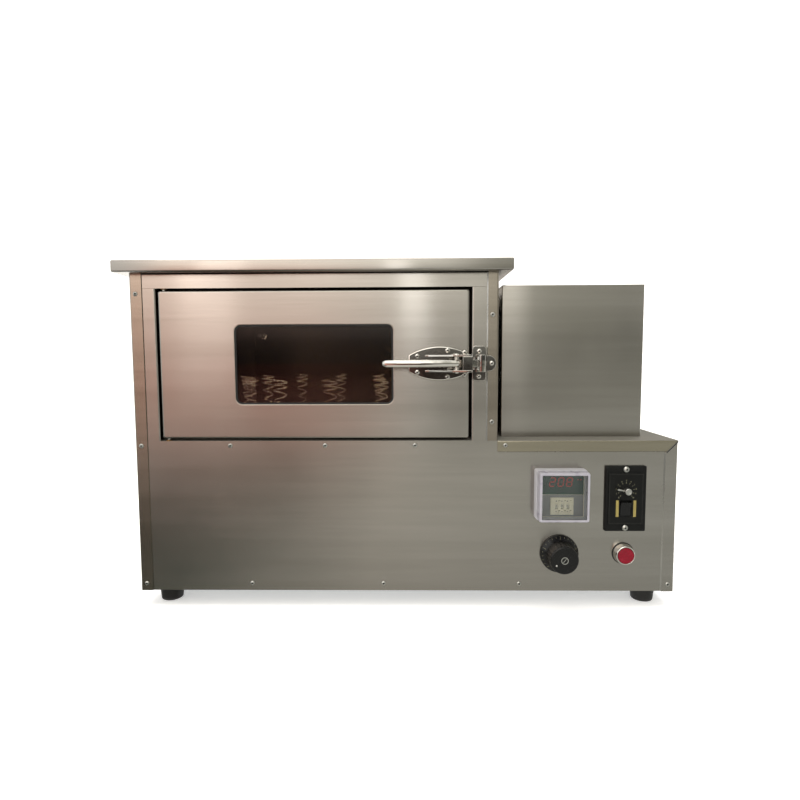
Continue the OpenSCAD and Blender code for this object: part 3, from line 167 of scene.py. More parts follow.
def edge_lines(lo, hi, r_lo, r_hi, n):
    """Grid lines over one side of a box, close together over each rounded edge."""
    a = np.tan(np.radians(np.linspace(45, 0, n)))
    low = lo + r_lo * (1 - a) if r_lo else np.array([lo])
    return np.unique(np.concatenate([low, hi - r_hi * (1 - a[::-1])]).round(6))


def rounded_box(lo, hi, r, n=5, open_bottom=False, rear_slots=()):
    """Every point of a plain box is drawn in to the distance r from the box's core."""
    lo, hi = np.array(lo, float), np.array(hi, float)
    core_lo, core_hi = lo + r, hi - r
    lines = [edge_lines(lo[k], hi[k], 0 if open_bottom and k == 2 else r, r, n) for k in range(3)]
    if open_bottom:
        core_lo[2] = lo[2]
        lines[2] = np.union1d(lines[2], [lo[2] + SUPPORT])
    for x0, x1, z0, z1 in rear_slots:
        lines[0] = np.union1d(lines[0], [x0 - SUPPORT, x0, x1, x1 + SUPPORT])
        lines[2] = np.union1d(lines[2], [z0 - SUPPORT, z0, z1, z1 + SUPPORT])
    parts = []
    for k in range(3):
        i, j = [m for m in range(3) if m != k]
        for side in (lo[k], hi[k]):
            if open_bottom and k == 2 and side == lo[2]:
                continue
            q = np.zeros((len(lines[i]), len(lines[j]), 3))
            q[..., i], q[..., j], q[..., k] = lines[i][:, None], lines[j], side
            core = np.clip(q, core_lo, core_hi)
            v = q - core
            points, faces = surface(core + r * v / np.maximum(np.linalg.norm(v, axis=-1, keepdims=True), 1e-9))
            if k == 1 and side == hi[1]:
                mid = points[np.array(faces)].mean(1)
                gone = [any(a < x < b and c < z < d for a, b, c, d in rear_slots) for x, _, z in mid]
                faces = [f for f, cut in zip(faces, gone) if not cut]
            parts.append((points, faces))
    return parts


def slab(x, z, y, r, n=2):
    """A thin box from its spans along x, z and y."""
    return rounded_box((x[0], y[0], z[0]), (x[1], y[1], z[1]), r, n=n)

# %% Lofts through rounded rectangles
def rect_loop(x0, x1, z0, z1, r, y, side, corner):
    """Points round a rectangle with round corners, the same count on every loop."""
    r = max(r, 0.01)
    centres = ((x1 - r, z0 + r), (x1 - r, z1 - r), (x0 + r, z1 - r), (x0 + r, z0 + r))
    rows = [arc(*c, r, a0, a0 + 90, corner) for c, a0 in zip(centres, (-90, 0, 90, 180))]
    out = []
    for k in range(4):
        a, b = rows[k][-1], rows[(k + 1) % 4][0]
        t = np.linspace(0, 1, side + 1, endpoint=False)[1:, None]
        out += [rows[k], a + (b - a) * t]
    return np.insert(np.concatenate(out), 1, y, axis=1)


def centred_loop(cx, cz, w, h, y, r, side, corner):
    return rect_loop(cx - w / 2, cx + w / 2, cz - h / 2, cz + h / 2, r, y, side, corner)


def grown_loop(bounds, grow, y, r, side=24, corner=7):
    """A loop round (x0, x1, z0, z1), grown on every side."""
    x0, x1, z0, z1 = bounds
    return rect_loop(x0 - grow, x1 + grow, z0 - grow, z1 + grow, r, y, side, corner)


def loft(rows, loop=None, close=False, caps=False):
    """Joins loops of equal count, row by row; loop makes each of them from a row of numbers."""
    return surface(np.stack([loop(*row) for row in rows] if loop else rows), close, True, caps)


def tube(path, radius, sides):
    """A circle carried along the path, square to its direction at each point."""
    d = np.gradient(path, axis=0)
    d /= np.linalg.norm(d, axis=1, keepdims=True)
    side = np.cross(d, (0, 0, 1))
    side /= np.maximum(np.linalg.norm(side, axis=1, keepdims=True), 1e-9)
    lift = np.cross(side, d)
    a = round_angles(sides)[:, None]
    rings = path[:, None] + radius * (np.cos(a) * side[:, None] + np.sin(a) * lift[:, None])
    return surface(rings, close_v=True, caps=True)


print("shape functions made")

# %% [markdown]
# The camera stands 0.77 m in front of the oven, a little above the door's middle, and
# looks slightly down. Its view is wide, about 73 degrees.
# %% Camera
FOCAL_PX, IMAGE_PX, SENSOR_MM = 540, 800, 36.0
EYE = to_metres([395.01, -768.53, 339.66])
YAW, PITCH, ROLL = -0.01523, 0.07655, -0.00428
ahead = np.array([math.sin(YAW) * math.cos(PITCH), math.cos(YAW) * math.cos(PITCH), -math.sin(PITCH)])
right = np.array([math.cos(YAW), -math.sin(YAW), 0])
up = np.cross(right, ahead)
data = bpy.data.cameras.new("camera")
data.sensor_width, data.lens, data.clip_end = SENSOR_MM, FOCAL_PX / IMAGE_PX * SENSOR_MM, 50
camera = bpy.data.objects.new("camera", data)
# The columns of the camera's matrix are its right, its up, its backwards and its place.
m = np.eye(4)
m[:3, 0] = math.cos(ROLL) * right + math.sin(ROLL) * up
m[:3, 1] = -math.sin(ROLL) * right + math.cos(ROLL) * up
m[:3, 2], m[:3, 3] = -ahead, EYE
camera.matrix_world = Matrix(m.tolist())
bpy.context.scene.collection.objects.link(camera)
bpy.context.scene.camera = camera
print("camera at", EYE.round(3), "lens", round(data.lens, 2), "mm")

# %% [markdown]
# A material is a small graph of nodes. A few functions make, set and link them, so
# that a finish later takes one call. Colours are written as sRGB hex, as on a colour
# chart, and one function turns them into the linear values that light adds up in.
# %% Colours and nodes
def srgb(code, k=1):
    """sRGB hex to linear: c / 12.92 below 0.04045, else ((c + 0.055) / 1.055) ^ 2.4."""
    c = np.array([int(code[i:i + 2], 16) for i in (1, 3, 5)]) / 255.0
    lin = np.where(c <= 0.04045, c / 12.92, ((c + 0.055) / 1.055) ** 2.4) * k
    return (*[float(v) for v in lin], 1)


def plug(n, **inputs):
    """Links or sets a node's inputs, each by its name, or by its number after an underscore."""
    for k, v in inputs.items():
        name = k.replace("_", " ")
        socket = n.inputs[name] if name in n.inputs else n.inputs[int(k[1:])]
        if isinstance(v, bpy.types.NodeSocket):
            n.id_data.links.new(v, socket)
        else:
            socket.default_value = v
    return n


def node(t, kind, settings={}, **inputs):
    n = t.nodes.new("ShaderNode" + kind)
    for k, v in settings.items():
        setattr(n, k, v)
    return plug(n, **inputs)


def calc(t, operation, *values):
    numbered = {f"_{k}": v for k, v in enumerate(values)}
    return node(t, "Math", {"operation": operation}, **numbered).outputs[0]


def mix(t, fac, a, b, **settings):
    """Colour a where fac is 0, colour b where it is 1."""
    return node(t, "Mix", {"data_type": "RGBA", **settings}, _0=fac, _6=a, _7=b).outputs[2]


def spread(t, value, lo, hi, to_lo=0, to_hi=1):
    """Maps a socket's values from lo..hi to to_lo..to_hi, and holds them there."""
    n = node(t, "MapRange", Value=value, From_Min=lo, From_Max=hi, To_Min=to_lo, To_Max=to_hi)
    return n.outputs["Result"]


def ramp(t, value, stops):
    """Tones along a ramp: each stop is a position and its linear colour."""
    n = node(t, "ValToRGB", Fac=value)
    e = n.color_ramp.elements
    for end, stop in zip(e, (stops[0], stops[-1])):
        end.position, end.color = stop[0], (*stop[1:], 1)
    for stop in stops[1:-1]:
        e.new(stop[0]).color = (*stop[1:], 1)
    return n.outputs["Color"]


def place(t, kind="Object"):
    return node(t, "TexCoord").outputs[kind]


def noise(t, scale, detail=2, rough=0.5, vector=None):
    """Noise of so many cells per metre over the object's own coordinates."""
    where = place(t) if vector is None else vector
    return node(t, "TexNoise", Vector=where, Scale=scale, Detail=detail, Roughness=rough).outputs["Fac"]


def stretched(t, scale):
    return node(t, "Mapping", Vector=place(t), Scale=scale).outputs["Vector"]


def material(name, slot=None):
    mat = bpy.data.materials.new(name)
    mat.use_nodes = True
    return mat, mat.node_tree, mat.node_tree.nodes["Principled BSDF"]


def bump(t, p, height, strength, distance):
    """Distance in metres between the lowest and highest point at strength 1."""
    plug(p, Normal=node(t, "Bump", Height=height, Strength=strength, Distance=distance).outputs["Normal"])


def finish(name, slot, tone, other, cloud, tone_span=None, rough=0.5, rough_span=(0.3, 0.7), grain=None, **more):
    """Two tones by a cloudy noise, which can set the roughness too, over a fine grain.
    other is the second tone, or a multiple of the first; cloud is the noise's scale,
    detail and roughness; rough is a constant, or its values at the ends of rough_span;
    grain is the scale and detail of its noise, then the bump's strength and distance."""
    mat, t, p = material(name, slot)
    fac = noise(t, *cloud)
    worn = srgb(other) if isinstance(other, str) else srgb(tone, other)
    color = mix(t, spread(t, fac, *tone_span) if tone_span else fac, srgb(tone), worn)
    if isinstance(rough, tuple):
        rough = spread(t, fac, *rough_span, *rough)
    if grain:
        bump(t, p, noise(t, *grain[:2]), *grain[2:])
    if "Emission_Strength" in more:
        more["Emission_Color"] = color
    plug(p, Base_Color=color, Roughness=rough, **more)
    return mat


print("material functions made")

# %% [markdown]
# Brushed steel shows what stands round it, so the light is the larger half of its
# look. The room is brighter and warmer to the left and greyer to the right. Narrow
# upright panels in front give the long upright bands that steel shows.
# %% World
# Room tones by X, from left to right: near the horizon, and higher up.
LOW_WALL = ((0, 0.9, 0.55, 0.45), (0.13, 1.1, 0.6, 0.46), (0.22, 1.25, 0.88, 0.75), (0.35, 1.25, 0.98, 0.86),
            (0.5, 0.97, 0.92, 0.85), (0.55, 0.55, 0.51, 0.45), (0.61, 0.76, 0.75, 0.68), (0.67, 0.42, 0.41, 0.355),
            (0.75, 0.27, 0.27, 0.225), (0.85, 0.2, 0.2, 0.18), (1, 0.38, 0.38, 0.34))
HIGH_WALL = ((0, 1.95, 1.84, 1.7), (0.3, 1.6, 1.52, 1.4), (0.5, 1.45, 1.41, 1.3), (0.6, 1.25, 1.23, 1.14),
             (0.7, 0.46, 0.46, 0.41), (1, 0.44, 0.44, 0.4))
# Brightness by height, from Z = -0.1 to 0.3.
RISE = ((0, 0.2), (0.2, 0.06), (0.3, 0.1), (0.36, 0.3), (0.42, 0.5), (0.6, 0.68), (0.68, 0.7), (1, 0.5))
WINDOW_TONE, BEHIND_TONE, ROOM_POWER = (1.35, 1.33, 1.3, 1), (1, 1, 1, 1), 2.6
# Tone by direction: warm and bright at the left, grey at the right, dim near the ground, white behind.
world = bpy.data.worlds.new("pale studio")
bpy.context.scene.world = world
world.use_nodes = True
t = world.node_tree
t.nodes.clear()
way = node(t, "SeparateXYZ", Vector=place(t, "Generated")).outputs
side = spread(t, way["X"], -0.6, 0.6)
rise = node(t, "FloatCurve", Value=spread(t, way["Z"], -0.1, 0.3))
points = rise.mapping.curves[0].points
points[0].location, points[1].location = RISE[0], RISE[-1]
for at, tone in RISE[1:-1]:
    points.new(at, tone)
rise.mapping.update()
wall = mix(t, spread(t, way["Z"], 0.11, 0.165, 0, 0.9), ramp(t, side, LOW_WALL), ramp(t, side, HIGH_WALL))
power = calc(t, "MULTIPLY", rise.outputs["Value"], ROOM_POWER)
front = mix(t, 1, wall, power, blend_type="MULTIPLY")
window = mix(t, spread(t, way["X"], -0.46, -0.54), front, WINDOW_TONE)
room = mix(t, spread(t, way["Y"], -0.15, 0.35), window, BEHIND_TONE)
node(t, "OutputWorld", Surface=node(t, "Background", Color=room, Strength=1).outputs["Background"])
print("world of", len(t.nodes), "nodes")

# %% Lamps
def panel_light(name, at, target, size, watts, color=(1, 1, 1)):
    """A rectangular lamp that faces its target."""
    data = bpy.data.lights.new(name, "AREA")
    data.shape, data.size, data.size_y, data.energy, data.color = "RECTANGLE", *size, watts, color
    obj = bpy.data.objects.new(name, data)
    obj.location = at
    obj.rotation_euler = (Vector(target) - Vector(at)).to_track_quat("-Z", "Y").to_euler()
    bpy.context.scene.collection.objects.link(obj)


panel_light("overhead", (0, 0.3, 2.4), (0, 0.3, 0), (2.6, 2.2), 40)
panel_light("left band", (-1.05, -2.3, 0.86), (-1.05, 0, 0.86), (0.3, 0.6), 0.75, (1, 0.9, 0.85))
panel_light("middle band", (0.054, -2.5, 0.84), (0.054, 0, 0.84), (0.15, 0.6), 0.5)
bpy.context.scene.view_settings.view_transform = "Standard"
print(len(bpy.data.lights), "lamps")

# %% [markdown]
# The oven stands on a sweep of white paper. Flat, then curved, then upright, it leaves
# no corner and so no line behind the object. A profile carried along x makes it.
# %% Floor and far wall
def stage(name, points, mat, close_v=False, unseen=()):
    """A surface that isn't part of the object; unseen names the rays that pass through it."""
    obj = mesh_object(name, *surface(points, close_v=close_v))
    obj.data.materials.append(mat)
    for ray in unseen:
        setattr(obj, "visible_" + ray, False)
    print(name, len(obj.data.polygons), "faces")
    return obj


def paper():
    """White studio paper, a little uneven, with enough light of its own to stay pale."""
    mat, t, p = material("pale studio paper")
    tone = ramp(t, noise(t, 1.3), ((0, 0.88, 0.88, 0.88), (1, 0.91, 0.91, 0.91)))
    plug(p, Base_Color=tone, Emission_Color=tone, Emission_Strength=0.4, Roughness=0.9, Specular_IOR_Level=0.1)
    return mat


def glowing(name, paint):
    """A material that only shines: paint(t) gives its colour and strength."""
    mat, t, _ = material(name)
    t.nodes.clear()
    color, strength = paint(t)
    node(t, "OutputMaterial", Surface=node(t, "Emission", Color=color, Strength=strength).outputs["Emission"])
    return mat


def wall_paint(t):
    return (1, 1, 1, 1), spread(t, noise(t, 0.3), 0, 1, 0.96, 1)


# The floor is flat to y = 2.5 m, curves up with a radius of 1 m, and stands upright behind.
a = np.radians(np.linspace(0, 90, 24))
y = np.concatenate([[-7, -3, -1, 0, 1], 2.5 + np.sin(a), [3.5]])
z = np.concatenate([[0, 0, 0, 0, 0], 1 - np.cos(a), [6]])
floor = stage("floor", grid(np.linspace(-7, 7, 9)[None, :], y[:, None], z[:, None]), paper())
floor.data.shade_smooth()
# A ring of 9 m radius keeps the background pale from every side; only the camera sees it.
a = round_angles(96)
stage("far_wall", grid(9 * np.cos(a)[None], 9 * np.sin(a)[None] - 1.75, np.array([[-3], [14]])),
      glowing("pale wall", wall_paint), close_v=True, unseen=("glossy", "diffuse", "transmission", "shadow"))

# %% [markdown]
# A studio lays dark card on the floor in front of polished metal, so that the metal
# has something to reflect and doesn't wash out. This one takes part in reflections
# only: it throws no shadow and no view shows it.
# %% Reflection card
# Near the oven by X, from -1.8 m to 0.9 m; further off by direction, X / Y from 1.2 to -0.6.
NEAR_CARD = ((0.3, 0.42, 0.42, 0.4), (0.42, 0.055, 0.062, 0.052), (0.447, 0.07, 0.08, 0.068),
             (0.533, 0.15, 0.17, 0.145), (0.647, 0.72, 0.7, 0.63), (0.833, 0.68, 0.69, 0.64), (1, 0.62, 0.63, 0.6))
FAR_CARD = ((0.25, 0.5, 0.5, 0.48), (0.35, 0.75, 0.36, 0.28), (0.555, 0.8, 0.34, 0.27), (0.637, 0.42, 0.22, 0.18),
            (0.687, 0.045, 0.035, 0.028), (0.733, 0.06, 0.052, 0.045), (0.778, 0.28, 0.27, 0.24),
            (0.96, 0.4, 0.4, 0.34))


def card_paint(t):
    """Nearly black at the left and mid grey to the right, brighter with distance, then dim far off."""
    at = node(t, "SeparateXYZ", Vector=place(t)).outputs
    near = ramp(t, spread(t, at["X"], -1.8, 0.9), NEAR_CARD)
    far = ramp(t, spread(t, calc(t, "DIVIDE", at["X"], at["Y"]), 1.2, -0.6), FAR_CARD)
    close, dim = spread(t, at["Y"], -2, -0.28, 1.35, 0.8), spread(t, at["Y"], -12, -3, 0.35, 1)
    power = calc(t, "MULTIPLY", close, dim)
    return mix(t, spread(t, at["Y"], -1.7, -2.4), near, far), power


stage("reflection_card", grid(np.linspace(-40, 40, 5)[None, :], np.linspace(-40, -0.21, 3)[:, None], 0.004),
      glowing("grey card", card_paint), unseen=("camera", "diffuse", "shadow"))

# %% [markdown]
# Stainless sheet is brushed in one direction by an abrasive belt. The scratches are
# far finer than a pixel, so the eye sees them as a blur across the grain: level
# scratches smear a reflection up and down. The shader is told which way that is, with
# a tangent that stands upright on upright faces and runs back on level ones. Fine
# streaks and faint smears of handling break up the tone.
# %% Brushed stainless steel
GRAIN = 1000 / 0.5  # cells of a noise that are 0.5 mm apart, in one metre


def brushed_steel(name, light, dark, rough=(0.17, 0.22), heat=None, level_shade_tone=None):
    """Streak noise runs far longer along x and y than z; tangent = z, or y where the face is level."""
    mat, t, p = material(name, "brushed_stainless")
    normal = node(t, "SeparateXYZ", Vector=node(t, "NewGeometry").outputs["Normal"]).outputs
    level = spread(t, calc(t, "ABSOLUTE", normal["Z"]), 0.65, 0.75)
    vector = {"data_type": "VECTOR"}
    tangent = node(t, "Mix", vector, _0=level, _4=Z, _5=Y).outputs[1]
    upright, lying = stretched(t, (10, 10, GRAIN)), stretched(t, (10, GRAIN, 10))
    across = node(t, "Mix", vector, _0=level, _4=upright, _5=lying).outputs[1]
    lines = noise(t, 1, 2, 0.7, across)
    streak = noise(t, 1, 4, vector=stretched(t, (2.2, 2.2, 45)))
    smear = noise(t, 6, 3, 0.55)
    tone = mix(t, spread(t, calc(t, "MULTIPLY_ADD", lines, 0.5, streak), 0.5, 1), srgb(dark), srgb(light))
    dull = spread(t, smear, 0.3, 0.7, *rough)
    metallic = 1.0
    if heat:
        tone = mix(t, spread(t, smear, 0.45, 0.75), tone, srgb(heat))
    # Level faces take a flat darker tone, less metal and more roughness: painted shade on the tops.
    if level_shade_tone:
        tone = mix(t, level, tone, srgb(level_shade_tone))
        metallic = spread(t, level, 0, 1, 1, 0.25)
        dull = calc(t, "MAXIMUM", dull, spread(t, level, 0, 1, 0, 0.6))
    plug(p, Base_Color=tone, Metallic=metallic, Anisotropic=0.9, Roughness=dull, Tangent=tangent)
    bump(t, p, lines, 0.015, 0.0002)
    return mat


def assign(names, mat):
    """Gives CAD nodes a material in their one slot."""
    for n in names:
        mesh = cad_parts[n].data
        mesh.materials.clear()
        mesh.materials.append(mat)
    print(mat.name, "on", len(names), "nodes")


STAINLESS = brushed_steel("brushed stainless steel", "#a9a59f", "#9d9992")
# The deck's level top is painted darker and duller than the rest of the steel: painted shade.
LEVEL_SHADED_STEEL = brushed_steel("brushed stainless steel, level faces painted dark", "#a7a08f", "#989180", level_shade_tone="#6f6c63")
# The side sheets are the front's steel in a darker, warmer tone: painted shade and painted warm reflection.
SIDE_SHADED_STEEL = brushed_steel("brushed stainless steel, side sheet", "#9f978c", "#8f877b")
LINER = brushed_steel("heat-stained stainless liner", "#7a7063", "#625848", (0.34, 0.5), "#5c4a36")
# The chamber's liner is near black: partly heat browning, partly painted shade inside the chamber.
SHADE_PAINTED_LINER = brushed_steel("heat-browned and shade-darkened stainless liner", "#38322c", "#2b2620", (0.36, 0.52), "#241c15")
assign(["base_front_panel", "base_right_panel", "base_rear_panel", "oven_front_frame", "oven_rear_panel"], STAINLESS)
assign(["left_side_panel", "oven_right_panel"], SIDE_SHADED_STEEL)
assign(["base_deck"], LEVEL_SHADED_STEEL)
assign(["door_inner_pan", "fan_guard", "carousel_plate"], LINER)
assign(["chamber_liner"], SHADE_PAINTED_LINER)

# %% [markdown]
# The top cover and the fan box are folded trays whose corners are welded and ground
# round. A box whose every edge has one radius is all that shows of them.
# %% Top cover and fan box
piece("top_cover_sheet", rounded_box((-18.5, -14, 461), (541.5, 487, 478), 2.5), STAINLESS, replaces="top_cover")
slots = [(582 + 15 * i, 587 + 15 * i, 292, 362) for i in range(8)]
fan_box = rounded_box((534, 39.5, 222), (742.7, 449.5, 447), 1.4, open_bottom=True, rear_slots=slots)
fan_shell = piece("fan_box_sheet", fan_box, STAINLESS, replaces="fan_box")
wall = fan_shell.modifiers.new("sheet thickness", "SOLIDIFY")
wall.thickness, wall.offset = 0.0015, -1

# %% [markdown]
# The door is one sheet, folded back on four sides and hemmed, with its window cut
# through the face. Loops of the same count run from the hem, over the fold, across
# the face and into the window's edge, and back along the inside of the sheet.
# %% Door skin
DOOR = (39.6, 481.9, 225.6, 436.8)
WINDOW = (147.65, 373.85, 274.8, 388.3)


def door_loop(inset, y, r=2.5):
    return grown_loop(DOOR, -inset, y, r)


def window_loop(grow, y, r=9.5):
    return grown_loop(WINDOW, grow, y, r + grow)


def door_skin(r=2.4, front=1.5):
    """Rows round the quarter fold: inset r(1 - sin a), depth r(1 - cos a) from the face."""
    angles = np.radians((90, 70, 50, 30, 12, 0))
    fold = [door_loop(r * (1 - math.sin(a)), front + r * (1 - math.cos(a))) for a in angles]
    outer = [door_loop(5, 29.5, 1), door_loop(1.2, 29.5, 2), door_loop(0, 28.3)] + fold
    edge, lip = outer[-1], window_loop(0.9, front)
    face = [edge + (lip - edge) * t for t in (0.008, 0.35, 0.7, 0.992)]
    hole = [lip] + [window_loop(*k) for k in ((0.45, 1.56), (0.12, 1.75), (0, 2.1), (0, 3))]
    back = [door_loop(*k, 1) for k in ((3, 3), (1.6, 4.2), (1.6, 27.9), (5, 27.9))]
    return loft(outer + face + hole + back, close=True)


piece("door_skin_sheet", [door_skin()], STAINLESS, "door", replaces="door_outer_skin", angle=50)

# %% [markdown]
# Toughened glass in an oven door is smoked and sits in a black silicone bead. Behind
# it stands a second pane, held off by a dark spacer.
# %% Glass and its bead
def rubber(name, slot, tone, rough=0.6):
    """Black rubber and silicone: a dark base with a fine matt skin."""
    return finish(name, slot, tone, 2.2, (30, 4), (0.45, 0.8), rough, grain=(900, 2, 0.25, 0.0002))


GLASS = finish("smoked toughened glass", None, "#b0a69d", "#a39a92", (14, 3), rough=0,
               Transmission_Weight=1, IOR=1.3)
RUBBER = rubber("black moulded rubber", "foot_rubber", "#151413")
assign(["window_panes"], GLASS)
bead = loft(((0, 3), (-1.6, 2.7), (-2.2, 2.95), (-2.2, 3)), window_loop)
piece("window_bead", [bead], RUBBER, "door", flip=False)

# %% [markdown]
# Each cone holder is one length of bright spring wire. The path climbs a cone: wide
# turns from a ring round the spigot, then two closer turns at the mouth.
# %% Wire cone holders
HOLDERS, RING, TABLE = 12, 163, (260.75, 240.7, 238.5)
OPEN_TURNS, CLOSE_TURNS, CLOSE_PITCH, COIL_H, WIRE = 4, 2, 7.5, 70, 1.3
SMOOTHED = 19  # points over which the wire's height is averaged


def coil_path(per_turn=28):
    """Height: a slow first turn, an even climb, then close turns; radius 6 + 6 height / 70."""
    turns = OPEN_TURNS + CLOSE_TURNS
    t = np.linspace(0, turns, turns * per_turn + 1)
    foot, mouth = WIRE + 2.4, COIL_H - WIRE - CLOSE_TURNS * CLOSE_PITCH
    z = np.interp(t, [0, 1, OPEN_TURNS, turns], [WIRE, foot, mouth, COIL_H - WIRE])
    z = np.convolve(np.pad(z, SMOOTHED // 2, mode="edge"), np.ones(SMOOTHED) / SMOOTHED, "valid")
    r = 6 + 6 * z / COIL_H
    a = 2 * np.pi * t
    return np.stack([r * np.cos(a), r * np.sin(a), z], 1)


path, wires = coil_path() + (RING, 0, 0.05), []
for i in range(HOLDERS):
    b = np.radians(4 + 360 * i / HOLDERS)
    c, s = math.cos(b), math.sin(b)
    wires.append(tube(path @ np.array([[c, s, 0], [-s, c, 0], [0, 0, 1]]) + TABLE, WIRE, 8))
WIRE_STEEL = finish("drawn spring wire", "bright_steel", "#efece6", "#cfc4b2", (60, 2), rough=0.25, Metallic=0.45)
piece("cone_holder_wires", wires, WIRE_STEEL, "turntable", replaces="cone_holders", angle=80)

# %% [markdown]
# The latch is a refrigerator-door pattern, cast and chromed: a lens-shaped base, two
# cheeks that carry the lever's pin, and a long lever that ends in a rounded nose.
# %% Latch base
CHROME = finish("polished chrome plate", "polished_chrome", "#dedbd5", "#c3bfb8", (70, 4), rough=(0.03, 0.09),
                rough_span=(0.35, 0.75), grain=(120, 1, 0.05, 0.0006), Metallic=1)
LZ, PX = 332.5, 462.0


def lens_loop(shrink, y, n=26):
    """Two arcs of radius 86 that meet in blunt ends, cut out for the tongue at the right."""
    mid, half, r = PX - 22, 24 - shrink, 86.0
    x0, x1 = PX - 66.5 + shrink, PX + 20 - shrink
    top, low = ([(x, LZ + side * (half - r + math.sqrt(r * r - (x - mid) ** 2))) for x in np.linspace(a, b, n)]
                for a, b, side in ((x1, x0, 1), (x0, x1, -1)))
    step, x2 = 8 + shrink, PX - 10 - shrink
    notch = [(x1, LZ - step), (x2, LZ - step), (x2, LZ + step), (x1, LZ + step)]
    return np.insert(np.array(top + low + notch), 1, y, axis=1)


plate = loft(((0, 1.5), (0, -0.1), (0.35, -0.7), (1.1, -1), (1.5, -1)), lens_loop, caps=True)
# A cheek from above: a swept rise, 3 s^2 - 2 s^3, from the plate to the pin, then the roof.
rise = [(43 * s - 43, -2.6 - 22.6 * (3 * s * s - 2 * s ** 3)) for s in np.linspace(0, 1, 12)]
cheek = np.array([(-43, -0.6)] + rise + [(4, -27.2), (20, -27.2), (21.5, -25.8), (21.5, -0.6)]) + (PX, 0)
cheeks = [prism(cheek, z, z + 2.5, "z") for z in (LZ - 12, LZ + 9.5)]
roof = [(PX + 8, -27.4), (PX + 21.5, -27.4), (PX + 21.5, -25.3), (PX + 8, -25.3)]
latch = [plate, *cheeks, prism(roof, LZ - 9.6, LZ + 9.6, "z")]
bevel(piece("latch_body", latch, CHROME, "door", replaces="latch_base"), 0.5, 3)

# %% Domed screws
def screw_head(centre, r=3.4, h=2, hole=1.5):
    """A dome with a socket: radius r, height h, and a socket of radius hole. Its dark floor is painted shade, a piece
    of its own.
    """
    dome = arc(0, 0, 1, 0, 72, 7) * (r, h / math.sin(math.radians(72)))
    socket = [(hole, h * 0.99), (hole * 0.8, h * 0.45), (0.01, h * 0.4)]
    return lathe([(0.01, -0.2), (r, -0.2), *dome, *socket], centre, n=20)


def recess(centre, r=1.35, lo=0.7, hi=1.05):
    """A black disc at the bottom of a screw's socket: painted shade."""
    return lathe([(0.01, lo), (r, lo), (r - 0.1, hi), (0.01, hi + 0.05)], centre, n=14)


def screws(name, sockets, centres, body="cabinet"):
    piece(name, [screw_head(c) for c in centres], CHROME, body)
    # The black discs in the sockets are painted shade.
    piece(sockets, [recess(c) for c in centres], RUBBER, body)


LATCH_SCREWS = [(-54, 10.5), (-54, -12.5), (-11, 18.5), (-11, -19), (13, 15.5), (13, -16)]
screws("latch_screws", "latch_socket_shades", [(PX + x, -1, LZ + z) for x, z in LATCH_SCREWS], "door")

# %% [markdown]
# The lever is cast in one piece, flat at its nose and thick at its root. Oval sections
# along a centre line give that shape, and a table says how deep and wide each one is.
# %% Lever
ROUNDNESS = 0.62  # power of the oval's sine and cosine: 1 is an ellipse, less is squarer


def lever():
    """Oval sections along the lever: centre line, half depth and half width from tables."""
    s = np.array([-103, -102.4, -100.5, -97, -88, -70, -50, -34, -20, -8, 0, 6, 6.2])
    mid = [-24.2, -24.2, -24.3, -24.5, -24.6, -24.4, -23.9, -22.8, -21.2, -19.6, -19, -19, -19]
    deep = [0.15, 1.4, 2.6, 3.2, 3.3, 3.4, 3.9, 4.8, 5.5, 5.9, 6, 3, 0.1]
    wide = [0.3, 2.4, 4.2, 4.8, 5, 5, 5, 5, 5, 5, 5, 4.9, 4.8]
    t = np.concatenate([s[:4], np.linspace(-96, -1, 40), np.linspace(0, 6.2, 8)])
    m, d, w = (np.interp(t, s, k)[:, None] for k in (mid, deep, wide))
    a = round_angles(28)
    c, q = (np.sign(k) * np.abs(k) ** ROUNDNESS for k in (np.cos(a), np.sin(a)))
    return surface(grid((PX + t)[:, None], m + d * c, LZ + w * q), close_v=True, caps=True)


tongue = np.array([(2, -22), (8, -21), (28.6, -15.5), (28.6, -11.6), (28, -11), (12, -11), (1, -14)]) + (PX, 0)
bevel(piece("latch_lever_cast", [lever()], CHROME, "lever", replaces="latch_lever", angle=60), 0.01)
bevel(piece("latch_tongue", [prism(tongue, LZ - 5, LZ + 5, "z")], CHROME, "lever"), 0.6, 3)

# %% [markdown]
# The strike is a plate screwed to the door frame, with an ear at the right and a
# half-round keeper that stands out of it. Each is a prism of its own outline.
# %% Strike
SX = 486.0


def strike_parts():
    """Rounded upright plate, a round ear to the right, and a half-round keeper on two feet."""
    turns = ((15, -20.5, -90), (15, 20.5, 0), (4, 20.5, 90), (4, -20.5, 180))
    corners = [arc(SX + x, LZ + z, 4, a, a + 90) for x, z, a in turns]
    notch = [(SX, LZ + 8), (SX + 2.5, LZ + 8), (SX + 2.5, LZ - 8), (SX, LZ - 8)]
    plate = np.concatenate([*corners[:3], notch, corners[3]])
    ear = np.concatenate([arc(508, LZ, 11.5, -70, 70, 14), [(SX + 14, LZ + 11.4), (SX + 14, LZ - 11.4)]])
    bow = arc(SX + 12, -6.5, 7, 180, 360, 18)
    inside = [(SX + 13.5, -2.4), (SX + 13.5, -10.2), (SX + 9, -10.2), (SX + 6.2, -8)]
    keeper = np.concatenate([bow, [(SX + 19, -2.4)], inside])
    ends = np.concatenate([bow, [(SX + 19, -2.4), (SX + 5, -2.4)]])
    return [prism(plate, -2.5, 1.5), prism(ear, -2.4, 0), prism(keeper, LZ - 8, LZ + 8, "z"),
            prism(ends, LZ - 12, LZ - 8, "z"), prism(ends, LZ + 8, LZ + 12, "z")]


bevel(piece("latch_strike_cast", strike_parts(), CHROME, replaces="latch_strike"), 0.5, 3)
STRIKE_SCREWS = [(SX + 9.5, -2.5, LZ + 17.2), (SX + 9, -2.5, LZ - 18.5), (SX + 27, -2.4, LZ)]
screws("strike_screws", "strike_socket_shades", STRIKE_SCREWS)
assign(["latch_pin"], CHROME)
